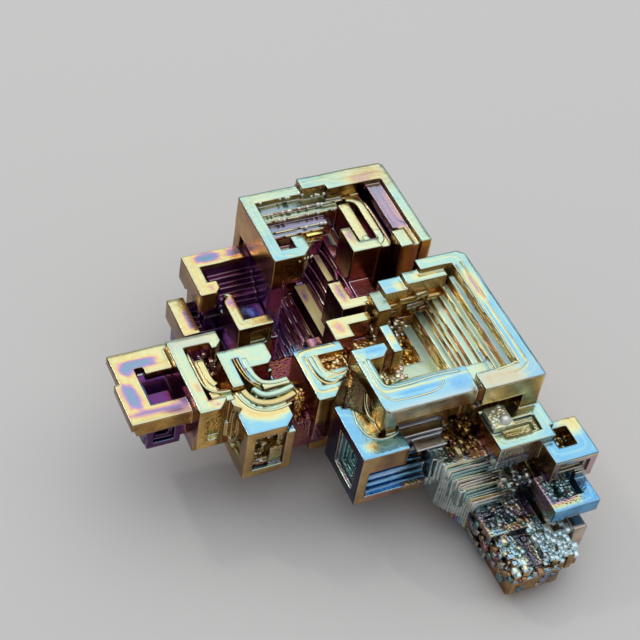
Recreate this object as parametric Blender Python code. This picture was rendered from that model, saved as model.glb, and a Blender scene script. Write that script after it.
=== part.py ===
"""A bismuth hopper crystal: one grown piece of metal, laid on its flat feet.

Sizes are in millimetres until the cubes are made. The crystal axes are X, Y and Z, and every wall,
ledge and pit lies along them. The plan grid starts left of and in front of the specimen, and
GRID_CENTRE is the plan point that becomes the origin.
"""
import math

import bmesh
import bpy
from mathutils import Matrix, Vector

MM = 0.001
GRID_CENTRE = (30.0, 30.5)      # plan middle of the specimen
REAR_TOP = 20.0                 # rim of the rear hopper
RIGHT_TOP = 20.0                # rim of the right hopper
ROW_TOP = 16.0                  # tops of the left row
OVERCUT = 0.7                   # how far a cutter runs past the face that it opens
SEAT_TOP = 3.0                  # height of the feet
BLADE_LEFT = 33.4               # left edge of the blade that stands in the basin
RIB_COUNT = 10                  # fine steps to the left of the blade
RIB_TREAD = 0.5
RIB_DROP = 0.45
CRUST_COLUMNS = 8               # small cubes of the crust over the front foot
CRUST_CELL = 1.0
CRUST_CUBE = 0.8

growth = None
hollows = None
ledges = None


def clear_scene():
    for item in list(bpy.data.objects):
        bpy.data.objects.remove(item, do_unlink=True)


def new_collection(name):
    collection = bpy.data.collections.new(name)
    bpy.context.scene.collection.children.link(collection)
    return collection


def cube_object(label, x, y, z, collection, turn=0.0):
    """A box over three ranges, turned about its own upright axis."""
    size = Vector((x[1] - x[0], y[1] - y[0], z[1] - z[0])) * MM
    middle = Vector((sum(x) / 2 - GRID_CENTRE[0], sum(y) / 2 - GRID_CENTRE[1], sum(z) / 2)) * MM
    mesh = bpy.data.meshes.new(label)
    shape = bmesh.new()
    bmesh.ops.create_cube(shape, size=1.0)
    bmesh.ops.scale(shape, vec=size, verts=shape.verts)
    bmesh.ops.rotate(shape, matrix=Matrix.Rotation(turn, 3, "Z"), verts=shape.verts)
    bmesh.ops.translate(shape, vec=middle, verts=shape.verts)
    shape.to_mesh(mesh)
    shape.free()
    item = bpy.data.objects.new(label, mesh)
    collection.objects.link(item)
    return item


def bar(label, x, y, z):
    """Metal that grew before the hollows were left."""
    return cube_object(label, x, y, z, growth)


def pit(label, x, y, z):
    """A space that the growing faces never filled."""
    return cube_object(label, x, y, z, hollows)


def ledge(label, x, y, z):
    """Metal that stands inside a hollow."""
    return cube_object(label, x, y, z, ledges)


def cut_corner(label, x, y, leg, z):
    """Takes a 45 degree corner off: each leg of the cut is the given length."""
    half = leg / math.sqrt(2)
    return cube_object(label, (x - half, x + half), (y - half, y + half), z, hollows, math.radians(45))


def stepped_pit(label, x, y, z, face, rim, tread, drop, steps):
    """Nested boxes sunk into one face of a block, each narrower and deeper than the last."""
    ranges = {"x": x, "y": y, "z": z}
    axis = face[1]
    for step in range(steps):
        inset = rim + step * tread
        depth = (step + 1) * drop
        sides = {}
        for name, (low, high) in ranges.items():
            if name != axis:
                sides[name] = (low + inset, high - inset)
            elif face[0] == "+":
                sides[name] = (high - depth, high + OVERCUT)
            else:
                sides[name] = (low - OVERCUT, low + depth)
        pit(f"{label} {step + 1}", sides["x"], sides["y"], sides["z"])


def rear_hopper():
    """The rear crystal: a hooked rim around ledges that step down into the shared basin."""
    top = REAR_TOP
    bar("rear left wall", (27.8, 29.3), (44.7, 56.0), (15.2, top))
    bar("rear left wall root", (28.5, 30.6), (46.6, 55.6), (4.5, 15.8))
    bar("rear front wall", (27.8, 32.7), (44.7, 46.2), (16.4, top))
    bar("rear hook", (31.1, 32.7), (45.0, 48.0), (16.6, top))
    bar("rear hook web", (29.0, 32.0), (45.6, 49.0), (14.6, 17.2))
    bar("rear back wall, left part", (27.8, 35.6), (54.4, 56.0), (7.0, top))
    bar("rear back wall, right part", (35.2, 46.6), (54.2, 56.1), (5.0, top + 1.0))
    bar("rear back shelf", (38.2, 46.0), (53.4, 55.0), (11.0, top + 1.0))
    bar("rear right wall", (45.2, 46.6), (42.0, 56.1), (6.0, top + 1.0))
    bar("rear wide ledge", (43.3, 45.6), (45.6, 55.0), (7.0, top + 0.3))
    bar("rear wide ledge, front part", (43.9, 45.6), (42.3, 46.0), (7.0, top + 0.3))
    bar("rear ledge foot", (42.8, 44.4), (42.3, 45.1), (8.0, top + 0.5))
    bar("rear outer strip", (41.4, 42.5), (44.0, 54.0), (8.0, top - 0.8))
    bar("rear inner strip", (39.2, 40.6), (45.2, 52.2), (8.0, top - 0.8))
    bar("rear strip bridge", (39.2, 42.5), (44.0, 45.7), (8.0, top - 0.8))
    bar("rear small hook", (37.5, 38.8), (43.9, 47.9), (14.0, top - 0.4))
    bar("rear small hook foot", (37.5, 41.2), (43.9, 45.4), (9.0, top - 0.4))
    bar("rear floor", (37.0, 45.5), (43.0, 54.6), (4.0, 8.0))
    bar("rear floor of the strips", (38.9, 44.1), (44.5, 54.6), (7.5, 15.5))
    back_ledges = ((52.95, 40.2, 0.8), (52.1, 39.4, 1.2), (50.9, 37.5, 1.9), (50.4, 36.9, 2.3), (49.9, 35.6, 4.0))
    for count, (front, right, drop) in enumerate(back_ledges):
        bar(f"rear back ledge {count + 1}", (29.0, right), (front, 54.6), (4.5, top - drop))
    cut_corner("rear front corner", 32.7, 44.7, 1.1, (16.0, top + 1.0))
    cut_corner("rear hook tip", 32.7, 48.0, 0.5, (16.0, top + 1.0))
    stepped_pit("rear outside hollow", (35.2, 46.6), (42.0, 56.1), (6.0, 21.0), "+y", 1.5, 0.8, 0.6, 5)
    stepped_pit("rear outside low hollow", (27.8, 35.2), (50.0, 56.0), (7.0, 20.0), "+y", 1.3, 0.6, 0.5, 4)
    stepped_pit("rear right hollow", (35.2, 46.6), (42.0, 56.1), (6.0, 21.0), "+x", 1.4, 0.9, 0.5, 4)
    pit("rear right notch", (44.8, 47.5), (48.6, 51.3), (5.0, 8.4))
    pit("rear back notch", (39.0, 42.0), (53.4, 57.0), (4.0, 8.8))
    cut_corner("rear outside corner", 46.6, 56.1, 0.5, (4.0, 22.0))


def basin():
    """The deep stair between the crystals: long treads along Y, falling towards the left."""
    treads = ((39.2, 14.6), (37.8, 12.2), (36.6, 10.4), (35.7, 9.4))
    for count, (right, height) in enumerate(treads):
        bar(f"basin tread {count + 1}", (right - 1.7, right + 1.0), (40.6, 52.6), (3.0, height))
    for count in range(RIB_COUNT):
        right = BLADE_LEFT + 0.15 - RIB_TREAD * count
        height = 7.95 - RIB_DROP * count
        bar(f"basin rib {count + 1}", (right - RIB_TREAD, right + 0.4), (38.6 + 0.13 * count, 52.4), (2.5, height))
    bar("yellow blade", (BLADE_LEFT, 34.95), (40.2, 49.3), (5.0, 9.8))
    bar("gold blade", (35.95, 36.8), (45.9, 50.6), (6.0, 13.2))


def right_hopper():
    """The right crystal: a square rim, a nested stair on its right side and a deep floor."""
    top = RIGHT_TOP
    bar("right rim", (47.7, 50.0), (20.0, 40.4), (9.0, top))
    bar("right back wall", (43.6, 50.0), (38.7, 40.4), (7.0, top))
    bar("right back block", (41.5, 46.8), (37.6, 39.5), (7.0, top - 0.7))
    bar("right back low block", (38.7, 41.7), (37.4, 39.7), (7.0, top - 1.4))
    bar("right back hook", (37.3, 38.9), (35.8, 38.9), (8.0, top - 2.2))
    bar("right front wall, right part", (42.3, 50.0), (20.0, 22.5), (17.2, top))
    bar("right front wall, left part", (31.1, 42.5), (21.2, 24.9), (16.4, top - 1.3))
    bar("right left arm", (31.1, 32.7), (21.2, 29.8), (12.0, top - 1.3))
    bar("right left hook", (31.1, 35.3), (28.8, 30.7), (12.0, top - 1.3))
    bar("right post", (36.1, 37.3), (29.5, 33.6), (9.0, top - 2.0))
    bar("right body", (36.0, 48.8), (25.0, 39.6), (4.0, 9.4))
    bar("right flank step", (46.0, 49.5), (22.0, 37.0), (7.4, 10.4))
    bar("right flank crystal", (47.5, 52.6), (26.4, 31.6), (4.6, 10.2))
    stepped_pit("right flank crystal hollow", (47.5, 52.6), (26.4, 31.6), (4.6, 10.2), "+x", 0.9, 0.5, 0.6, 3)
    stepped_pit("right flank crystal top", (49.5, 52.6), (26.4, 31.6), (4.6, 10.2), "+z", 0.8, 0.4, 0.6, 2)
    bar("right flank chip", (48.0, 51.2), (33.8, 37.4), (3.4, 8.0))
    stepped_pit("right flank chip hollow", (48.0, 51.2), (33.8, 37.4), (3.4, 8.0), "+x", 0.7, 0.4, 0.5, 2)
    bar("right front step", (33.5, 49.6), (23.0, 26.0), (12.5, 17.0))
    bar("right front low step", (35.0, 49.4), (24.5, 28.5), (6.0, 14.0))
    treads = (
        (47.1, 18.6), (46.4, 17.4), (45.75, 16.7), (44.95, 16.1),
        (44.6, 15.4), (44.3, 14.7), (43.3, 14.0), (42.1, 11.8),
    )
    for count, (left, height) in enumerate(treads):
        bar(f"right stair {count + 1}", (left, 48.2), (22.2, 38.0), (8.0 - 0.3 * count, height))
    bar("right floor front", (35.2, 43.0), (26.0, 32.0), (5.0, 11.8))
    bar("right floor back", (36.5, 43.0), (36.9, 38.4), (5.5, 11.2))
    bar("right floor left", (33.0, 36.9), (27.0, 38.2), (5.2, 13.0))
    for count in range(3):
        left = 41.2 + 0.9 * count
        bar(f"right hanging rod {count + 1}", (left, left + 0.5), (22.0 + 0.3 * count, 22.6 + 0.3 * count), (13.6 - 0.5 * count, 17.6))
    cut_corner("right front left corner", 31.1, 21.2, 0.5, (11.0, top))
    cut_corner("right left hook tip", 35.3, 28.8, 0.9, (11.5, top))
    cut_corner("right back corner", 50.0, 40.4, 0.8, (6.0, top + 1.0))
    stepped_pit("right outside hollow", (47.0, 50.0), (20.0, 40.4), (9.0, 20.0), "+x", 1.6, 0.9, 0.5, 5)
    stepped_pit("right back hollow", (43.6, 50.0), (38.0, 40.4), (8.5, 20.0), "+y", 1.3, 0.7, 0.4, 3)


def centre_crystals():
    """Small crystals in a chain between the right hopper and the left row."""
    top = ROW_TOP
    bar("spiral crystal", (26.1, 31.9), (27.1, 34.6), (9.0, top))
    pit("spiral crystal front", (28.6, 33.0), (26.0, 27.3), (8.0, top + 1.0))
    cut_corner("spiral crystal front corner", 31.9, 27.1, 3.8, (8.0, top + 0.7))
    stepped_pit("spiral crystal hollow", (28.0, 32.6), (30.2, 33.8), (9.0, top), "+z", 0.6, 0.45, 0.9, 2)
    pit("spiral groove", (27.4, 27.9), (29.2, 33.2), (top - 0.6, top + 1.0))
    pit("spiral groove front", (27.4, 30.4), (29.0, 29.5), (top - 0.6, top + 1.0))
    bar("spiral crystal foot", (27.2, 36.5), (29.0, 36.0), (4.5, 12.0))
    bar("pink crystal", (31.6, 34.0), (34.7, 37.8), (8.5, top))
    bar("pink crystal arm", (31.6, 37.0), (36.5, 37.8), (9.5, top))
    bar("small hook crystal", (34.3, 36.0), (38.8, 43.2), (7.5, top))
    bar("small hook crystal foot", (34.3, 38.0), (38.8, 40.2), (7.5, top))
    bar("centre web", (31.5, 40.5), (36.0, 41.5), (4.2, 9.0))


def left_row():
    """The four crystals of the left row, each open to the top and to the front."""
    top = ROW_TOP
    low = top - 1.4
    bar("far left back arm", (6.6, 13.6), (37.5, 41.2), (low - 1.2, low))
    bar("far left wall", (6.6, 8.9), (31.0, 40.0), (low - 1.2, low))
    bar("far left bump", (6.0, 8.0), (31.0, 37.0), (low - 1.2, low))
    pit("far left slot", (8.9, 9.9), (37.2, 38.6), (low - 3.0, low + 1.0))
    bar("far left front arm", (6.6, 13.6), (31.0, 33.2), (low - 2.1, low))
    bar("far left inner wall", (8.1, 9.4), (31.8, 40.2), (low - 4.2, low - 0.9))
    bar("far left floor", (8.1, 14.0), (32.4, 40.4), (low - 5.6, low - 3.6))
    bar("far left foot", (8.2, 12.2), (31.8, 36.0), (low - 5.9, low - 1.8))
    stepped_pit("far left foot hollow", (8.2, 12.2), (31.8, 36.0), (low - 5.9, low - 2.1), "-y", 0.8, 0.5, 0.6, 2)
    stepped_pit("far left underside", (8.1, 14.0), (32.4, 40.4), (low - 5.9, low - 3.6), "-z", 1.1, 0.6, 0.5, 2)

    bar("tall wall", (13.0, 14.6), (29.2, 40.1), (top - 6.2, top + 0.1))
    bar("tall back arm", (13.0, 19.0), (38.6, 40.1), (top - 6.1, top + 0.1))
    bar("tall back hook", (17.6, 19.0), (37.7, 40.0), (top - 6.0, top + 0.1))
    bar("tall front arm", (13.0, 16.6), (29.2, 30.8), (top - 6.2, top + 0.1))
    bar("tall inner bar", (15.2, 16.3), (31.3, 37.0), (top - 5.6, top - 0.5))
    bar("tall inner foot", (15.2, 17.6), (30.6, 32.2), (top - 5.6, top - 0.6))
    bar("tall floor", (14.0, 18.8), (30.0, 39.5), (top - 6.3, top - 4.0))
    cut_corner("tall front corner", 16.6, 29.2, 1.2, (top - 7.0, top + 1.0))
    cut_corner("tall back corner", 19.0, 37.7, 0.8, (top - 7.0, top + 1.0))
    pit("tall front hollow", (14.2, 17.6), (28.0, 30.0), (top - 5.0, top - 1.6))

    bar("comb wall", (17.8, 19.4), (31.7, 37.0), (8.2, top))
    bar("comb back arm", (17.8, 23.6), (33.9, 37.0), (8.4, top))
    bar("comb floor", (18.0, 24.0), (31.0, 36.8), (7.8, top - 3.2))
    bar("comb tooth", (20.0, 21.0), (31.8, 35.0), (9.0, top - 0.2))
    cut_corner("comb back corner", 23.6, 33.9, 0.7, (top - 1.6, top + 1.0))
    pit("comb slot", (19.15, 19.9), (30.6, 35.6), (top - 1.4, top + 1.0))

    bar("front cube", (17.1, 22.9), (25.4, 31.6), (top - 8.4, top - 0.7))
    pit("curved groove, left part", (19.15, 19.9), (29.6, 31.4), (top - 2.6, top + 1.0))
    pit("curved groove, middle", (19.5, 20.6), (29.1, 30.1), (top - 2.6, top + 1.0))
    pit("curved groove, front", (20.2, 23.5), (28.7, 29.6), (top - 2.6, top + 1.0))
    ledge("curved arm", (20.3, 24.6), (29.9, 30.9), (top - 6.5, top - 0.6))
    ledge("curved arm bar", (21.0, 24.2), (30.5, 31.3), (top - 6.5, top - 0.1))
    ledge("curved arm end", (22.4, 25.5), (28.9, 30.5), (top - 6.8, top - 1.5))
    cut_corner("front cube corner", 22.9, 25.4, 1.2, (top - 2.0, top + 1.0))
    stepped_pit("front cube hollow", (17.1, 22.9), (25.4, 31.6), (top - 8.4, top - 0.7), "-y", 1.1, 0.5, 1.0, 3)
    ledge("front cube inner block", (20.4, 22.3), (26.0, 29.0), (top - 7.6, top - 4.8))
    stepped_pit("front cube left hollow", (17.1, 22.9), (25.4, 31.6), (top - 8.0, top - 0.7), "-x", 1.5, 0.7, 0.4, 2)
    bar("row web", (13.6, 28.5), (31.5, 38.2), (6.6, 10.8))
    bar("row web front", (22.5, 28.5), (28.0, 33.5), (7.2, 11.6))


def rear_left_crystals():
    """Three lower crystals on the left flank of the rear hopper."""
    bar("flank wall", (20.2, 21.8), (47.3, 54.0), (11.0, 14.0))
    bar("flank back arm", (20.2, 28.3), (51.8, 54.0), (10.6, 14.0))
    bar("flank hook", (20.2, 22.9), (47.3, 49.2), (11.2, 14.0))
    bar("flank floor", (21.2, 29.0), (47.9, 53.4), (5.0, 9.4))
    bar("flank inner wall", (21.2, 23.2), (48.1, 53.3), (8.8, 11.8))
    for step in range(4):
        bar(f"flank rib {step + 1}", (22.8, 28.6), (51.9 - 0.9 * step, 53.0), (7.0, 13.0 - 0.9 * step))
    cut_corner("flank hook corner", 22.9, 47.3, 0.7, (10.5, 15.0))
    bar("low crystal wall", (17.5, 19.6), (44.9, 50.9), (7.6, 10.5))
    bar("low crystal floor", (18.2, 25.0), (43.5, 50.5), (4.0, 7.0))
    for step in range(3):
        bar(f"low crystal rib {step + 1}", (19.3, 23.4), (49.8 - 0.9 * step, 50.7), (4.6, 9.6 - 0.9 * step))
    bar("corner crystal wall", (22.9, 24.2), (41.8, 47.7), (6.0, 13.0))
    bar("corner crystal foot", (22.9, 27.3), (41.8, 43.3), (9.4, 13.0))
    bar("corner crystal floor", (23.4, 28.4), (42.2, 48.4), (4.0, 9.8))
    pit("corner crystal shade", (24.6, 26.8), (41.0, 42.4), (9.8, 12.0))


def lower_right_crystals():
    """The rougher crystals that step down to the table in front of the right hopper."""
    bar("blue cube", (27.7, 33.4), (18.6, 26.5), (7.0, 15.0))
    bar("blue cube right part", (30.0, 38.0), (18.6, 26.0), (7.0, 12.6))
    bar("blue cube back", (33.0, 38.6), (20.6, 25.5), (10.0, 14.2))
    bar("blue cube neck", (31.5, 40.0), (22.0, 24.7), (6.5, 16.9))
    for step, (low, depth) in enumerate(((8.0, 1.4), (9.5, 2.4), (11.0, 3.4))):
        pit(f"blue cube front hollow {step + 1}", (28.9, 36.8), (17.8, 18.6 + depth), (low, 12.2))
    pit("blue cube right notch", (33.4, 38.7), (17.8, 20.0), (11.4, 13.4))
    stepped_pit("blue cube left hollow", (27.7, 33.4), (18.6, 25.5), (7.0, 15.0), "-x", 1.3, 0.8, 0.5, 3)
    bar("grey block", (34.6, 38.4), (18.9, 23.0), (10.5, 13.6))
    bar("shadow core", (39.2, 47.0), (17.5, 28.0), (3.2, 11.5))
    bar("shadow core, left part", (33.4, 40.0), (21.4, 28.2), (6.4, 11.6))

    bar("knob crystal", (42.8, 50.4), (15.2, 21.0), (11.5, 15.0))
    stepped_pit("knob crystal hollow", (42.8, 50.0), (15.2, 20.0), (11.5, 15.0), "+z", 1.3, 0.5, 0.5, 2)
    bar("knob crystal leg", (43.5, 50.0), (16.2, 24.0), (4.0, 12.0))
    bar("knob", (43.0, 45.6), (17.4, 20.4), (13.5, 16.0))
    bar("corner cube", (48.4, 54.0), (12.2, 17.7), (10.0, 14.0))
    pit("corner cube hole", (49.9, 52.2), (14.1, 16.7), (11.6, 15.0))
    stepped_pit("corner cube front hollow", (48.4, 54.0), (12.2, 17.7), (10.0, 14.0), "-y", 0.9, 0.4, 0.5, 2)
    bar("low teal crystal", (47.4, 53.3), (8.7, 13.9), (8.1, 10.0))
    pit("low teal hollow", (48.6, 51.8), (10.2, 12.9), (8.8, 11.0))
    bar("teal leg", (48.0, 52.4), (10.6, 19.0), (3.6, 9.2))
    for step in range(8):
        x = 37.3 + 0.4 * step
        y = 17.0 - 0.4 * step
        bar(f"ribbed wall {step + 1}", (x, x + 6.0), (y, 20.0), (5.2 - 0.3 * step, 12.0 - 0.6 * step))
    for step in range(4):
        x = 36.7 + 0.7 * step
        y = 17.6 - 0.9 * step
        bar(f"ribbed wall knob {step + 1}", (x, x + 0.9), (y, y + 0.8), (9.0 - 0.8 * step, 12.7 - 1.1 * step))
    bar("ribbed foot", (41.0, 47.6), (10.4, 15.0), (1.5, 6.0))
    stepped_pit("ribbed foot top", (41.0, 45.4), (10.9, 14.4), (1.5, 6.0), "+z", 0.6, 0.4, 0.5, 2)
    stepped_pit("ribbed foot left hollow", (41.0, 47.6), (10.4, 15.0), (1.5, 6.0), "-x", 0.8, 0.4, 0.4, 2)
    bar("crust ground", (41.4, 47.4), (4.9, 11.0), (2.2, 4.4))
    bar("crust ground, right part", (44.0, 50.4), (6.0, 11.2), (2.6, 4.8))
    for row in range(6):
        for column in range(CRUST_COLUMNS):
            x = 41.55 + CRUST_CELL * column + 0.1 * (row % 3)
            y = 5.15 + CRUST_CELL * row + 0.4 * (column > 3)
            height = 5.05 + 0.2 * ((5 * row + 3 * column) % 6) - 0.8 * (column in (2, 3))
            bar(f"crust cube {row + 1}.{column + 1}", (x, x + CRUST_CUBE), (y, y + CRUST_CUBE), (3.0, height))
    bar("fin", (50.2, 51.9), (7.7, 11.4), (3.2, 6.9))
    bar("fin root", (48.0, 51.4), (8.4, 13.0), (2.9, 6.2))


def feet():
    """Undersides of the three lowest crystals: their flat ends all lie in one plane."""
    bar("front foot", (42.0, 46.2), (6.2, 12.0), (0.0, SEAT_TOP))
    bar("front foot web", (42.5, 48.0), (9.0, 22.0), (1.2, 4.6))
    bar("rear foot", (37.5, 45.0), (44.5, 53.0), (0.0, 5.0))
    bar("left foot", (20.5, 28.0), (40.0, 48.5), (0.0, 5.0))
    bar("middle ground", (33.0, 47.4), (24.4, 52.0), (2.4, 6.0))
    bar("left ground", (22.5, 35.0), (33.5, 51.0), (2.1, 3.9))
    stepped_pit("front foot hollow", (42.0, 46.2), (6.2, 12.0), (0.0, 3.0), "-z", 1.0, 0.5, 0.5, 2)
    stepped_pit("rear foot hollow", (37.5, 45.0), (44.5, 53.0), (0.0, 5.0), "-z", 1.2, 0.7, 0.7, 3)
    stepped_pit("left foot hollow", (20.5, 28.0), (40.0, 48.5), (0.0, 5.0), "-z", 1.2, 0.7, 0.7, 3)
    stepped_pit("ground hollow", (33.0, 48.8), (25.0, 43.0), (2.4, 6.0), "-z", 1.8, 0.9, 0.5, 5)
    stepped_pit("left ground hollow", (22.5, 33.0), (33.5, 40.0), (2.1, 3.9), "-z", 1.0, 0.6, 0.4, 2)
    stepped_pit("row hollow", (14.2, 22.2), (31.8, 38.0), (6.6, 10.8), "-z", 0.8, 0.5, 0.5, 3)
    bar("underside blade", (29.4, 31.0), (36.0, 47.0), (1.0, 3.0))
    bar("underside block", (31.8, 36.0), (40.5, 45.0), (0.0, 3.2))


def bismuth_material():
    material = bpy.data.materials.new("oxidised bismuth")
    material.use_nodes = True
    shader = material.node_tree.nodes["Principled BSDF"]
    shader.inputs["Base Color"].default_value = (0.72, 0.68, 0.48, 1.0)
    shader.inputs["Metallic"].default_value = 1.0
    shader.inputs["Roughness"].default_value = 0.2
    return material


def add_boolean(crystal, name, operation, collection):
    modifier = crystal.modifiers.new(name, "BOOLEAN")
    modifier.operation = operation
    modifier.operand_type = "COLLECTION"
    modifier.solver = "MANIFOLD"
    modifier.collection = collection


def hide_tools():
    for collection in (growth, hollows, ledges):
        for item in collection.objects:
            item.hide_render = True
            item.display_type = "WIRE"


def main():
    global growth, hollows, ledges
    clear_scene()
    part = new_collection("bismuth_crystal")
    growth = new_collection("growth blocks")
    hollows = new_collection("hollow cutters")
    ledges = new_collection("inner ledges")
    crystal = cube_object("bismuth_crystal", (38.0, 45.0), (26.5, 50.0), (3.1, 7.0), part)
    crystal.data.materials.append(bismuth_material())
    rear_hopper()
    basin()
    right_hopper()
    centre_crystals()
    left_row()
    rear_left_crystals()
    lower_right_crystals()
    feet()
    hide_tools()
    add_boolean(crystal, "grown blocks", "UNION", growth)
    add_boolean(crystal, "hollows", "DIFFERENCE", hollows)
    add_boolean(crystal, "inner ledges", "UNION", ledges)


main()
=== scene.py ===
"""Bismuth hopper crystal: the dressed model of one grown piece of oxidised bismuth.

Laid out as an add-on: each operator makes one group of pieces, and main() runs them in order.
Positions in the code are millimetres on the specimen's plan grid, and at() turns them into the
model's own metres.
"""
import math
import random

import bmesh
import bpy
import numpy as np
from bpy.props import FloatProperty, FloatVectorProperty, IntProperty, PointerProperty
from mathutils import Euler, Matrix, Vector, geometry, noise


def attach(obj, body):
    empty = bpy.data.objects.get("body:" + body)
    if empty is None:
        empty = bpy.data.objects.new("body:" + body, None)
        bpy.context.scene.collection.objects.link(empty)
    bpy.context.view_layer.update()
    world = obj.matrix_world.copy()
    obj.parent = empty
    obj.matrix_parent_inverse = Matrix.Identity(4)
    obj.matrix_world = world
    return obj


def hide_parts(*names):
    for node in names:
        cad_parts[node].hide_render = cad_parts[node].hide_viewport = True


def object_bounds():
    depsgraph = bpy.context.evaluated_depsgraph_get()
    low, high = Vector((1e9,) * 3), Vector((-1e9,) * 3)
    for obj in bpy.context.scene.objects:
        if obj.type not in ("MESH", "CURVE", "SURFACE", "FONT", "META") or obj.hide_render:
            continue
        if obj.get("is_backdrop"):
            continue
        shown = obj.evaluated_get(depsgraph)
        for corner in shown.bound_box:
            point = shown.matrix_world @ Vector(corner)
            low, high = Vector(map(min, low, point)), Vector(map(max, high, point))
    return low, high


bl_info = {
    "name": "Bismuth hopper crystal",
    "version": (1, 0, 0),
    "blender": (4, 5, 0),
    "location": "View3D > Sidebar > Bismuth",
    "description": "Builds an iridescent bismuth hopper crystal around its packed solid",
    "category": "Add Mesh",
}

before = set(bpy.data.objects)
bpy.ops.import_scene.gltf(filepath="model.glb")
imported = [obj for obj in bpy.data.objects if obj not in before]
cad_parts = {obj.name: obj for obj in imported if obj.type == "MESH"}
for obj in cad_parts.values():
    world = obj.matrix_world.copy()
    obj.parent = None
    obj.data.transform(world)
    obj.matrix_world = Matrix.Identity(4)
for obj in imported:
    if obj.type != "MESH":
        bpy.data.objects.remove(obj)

CAD_NODE = "bismuth_crystal"
BODY = "root"
MM = 0.001
GRID = Vector((30.0, 30.5, 0.0))     # plan grid point that lies at the model's origin
RIB_LINES = 10                       # ribs of the basin that carry threads
RIB_PAIRS = 16                       # thin plates of the ribbed wall

# Film thickness, as a share of the thickest oxide, for the colours that the pieces use.
SILVER, STRAW, GOLD, COPPER = 0.0, 0.06, 0.12, 0.18
MAROON, PURPLE, NAVY, BLUE = 0.24, 0.30, 0.36, 0.43
SKY, MINT, CREAM, YELLOW = 0.50, 0.57, 0.64, 0.71
PINK, LILAC, SLATE, SEA = 0.78, 0.84, 0.91, 1.0


def at(x, y, z):
    """A point of the plan grid, in the model's metres."""
    return (Vector((x, y, z)) - GRID) * MM


# ---------------------------------------------------------------- settings

class BismuthSizes(bpy.types.PropertyGroup):
    edge_round: FloatProperty(
        name="Edge round", description="Width of the rounding along every edge",
        default=0.13 * MM, min=0.0, unit="LENGTH", precision=5)
    cell: FloatProperty(
        name="Cell", description="Spacing of the points that carry the film and the waviness",
        default=0.6 * MM, min=0.2 * MM, unit="LENGTH", precision=5)
    waviness: FloatProperty(
        name="Waviness", description="How far the grown faces stray from flat",
        default=0.05 * MM, min=0.0, unit="LENGTH", precision=5)


class BismuthFilm(bpy.types.PropertyGroup):
    silver: FloatVectorProperty(name="Silver", description="Bare metal", subtype="COLOR", size=3, default=(0.60, 0.57, 0.52))
    straw: FloatVectorProperty(name="Straw", description="Thinnest oxide", subtype="COLOR", size=3, default=(0.74, 0.64, 0.36))
    gold: FloatVectorProperty(name="Gold", description="Thin oxide", subtype="COLOR", size=3, default=(0.70, 0.44, 0.10))
    copper: FloatVectorProperty(name="Copper", description="Brown oxide of the side faces", subtype="COLOR", size=3, default=(0.46, 0.21, 0.07))
    maroon: FloatVectorProperty(name="Maroon", description="Dark red oxide", subtype="COLOR", size=3, default=(0.32, 0.07, 0.11))
    purple: FloatVectorProperty(name="Purple", description="Violet oxide of the deep pits", subtype="COLOR", size=3, default=(0.24, 0.07, 0.30))
    navy: FloatVectorProperty(name="Navy", description="Dark blue oxide", subtype="COLOR", size=3, default=(0.06, 0.09, 0.34))
    blue: FloatVectorProperty(name="Blue", description="Blue oxide", subtype="COLOR", size=3, default=(0.10, 0.36, 0.72))
    sky: FloatVectorProperty(name="Sky", description="Pale blue oxide of the rims", subtype="COLOR", size=3, default=(0.27, 0.57, 0.72))
    mint: FloatVectorProperty(name="Mint", description="Pale green oxide", subtype="COLOR", size=3, default=(0.49, 0.70, 0.56))
    cream: FloatVectorProperty(name="Cream", description="Pale yellow oxide", subtype="COLOR", size=3, default=(0.70, 0.72, 0.42))
    yellow: FloatVectorProperty(name="Yellow", description="Second yellow oxide", subtype="COLOR", size=3, default=(0.76, 0.60, 0.24))
    pink: FloatVectorProperty(name="Pink", description="Pink oxide", subtype="COLOR", size=3, default=(0.66, 0.38, 0.38))
    lilac: FloatVectorProperty(name="Lilac", description="Mauve oxide", subtype="COLOR", size=3, default=(0.40, 0.27, 0.50))
    slate: FloatVectorProperty(name="Slate", description="Grey blue oxide", subtype="COLOR", size=3, default=(0.22, 0.30, 0.44))
    sea: FloatVectorProperty(name="Sea green", description="Thickest oxide", subtype="COLOR", size=3, default=(0.14, 0.38, 0.36))


class BismuthStudio(bpy.types.PropertyGroup):
    ceiling_power: FloatProperty(name="Ceiling light", description="Power of the wide soft light overhead", default=1.25, min=0.0, unit="POWER")
    key_power: FloatProperty(name="Key light", description="Power of the soft light behind", default=0.05, min=0.0, unit="POWER")
    glint_power: FloatProperty(name="Glint light", description="Power of the small light that the edges catch", default=0.10, min=0.0, unit="POWER")
    room: FloatProperty(name="Room", description="Strength of the even light of the room", default=0.42, min=0.0)
    floor: FloatVectorProperty(name="Floor", description="Colour of the floor", subtype="COLOR", size=3, default=(0.78, 0.76, 0.73))


# ---------------------------------------------------------------- shared making

def finish_piece(name, shape, material, body=BODY):
    """Turns a bmesh into a piece that rides on the crystal and takes its finish."""
    mesh = bpy.data.meshes.new(name)
    shape.to_mesh(mesh)
    shape.free()
    mesh.materials.append(material)
    piece = bpy.data.objects.new(name, mesh)
    bpy.context.scene.collection.objects.link(piece)
    for polygon in mesh.polygons:
        polygon.use_smooth = True
    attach(piece, body)
    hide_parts(CAD_NODE)
    return piece


# ---------------------------------------------------------------- the film

TOP, FRONT, LEFT, RIGHT, BACK, UNDER = "top", "front", "left", "right", "back", "under"
ALL_ROUND = (TOP, FRONT, LEFT, RIGHT, BACK, UNDER)
SIDES = (FRONT, LEFT, RIGHT, BACK)
OWN = ("film", "shade", "bare", "dull")      # what a small growth can be given for itself


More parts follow.
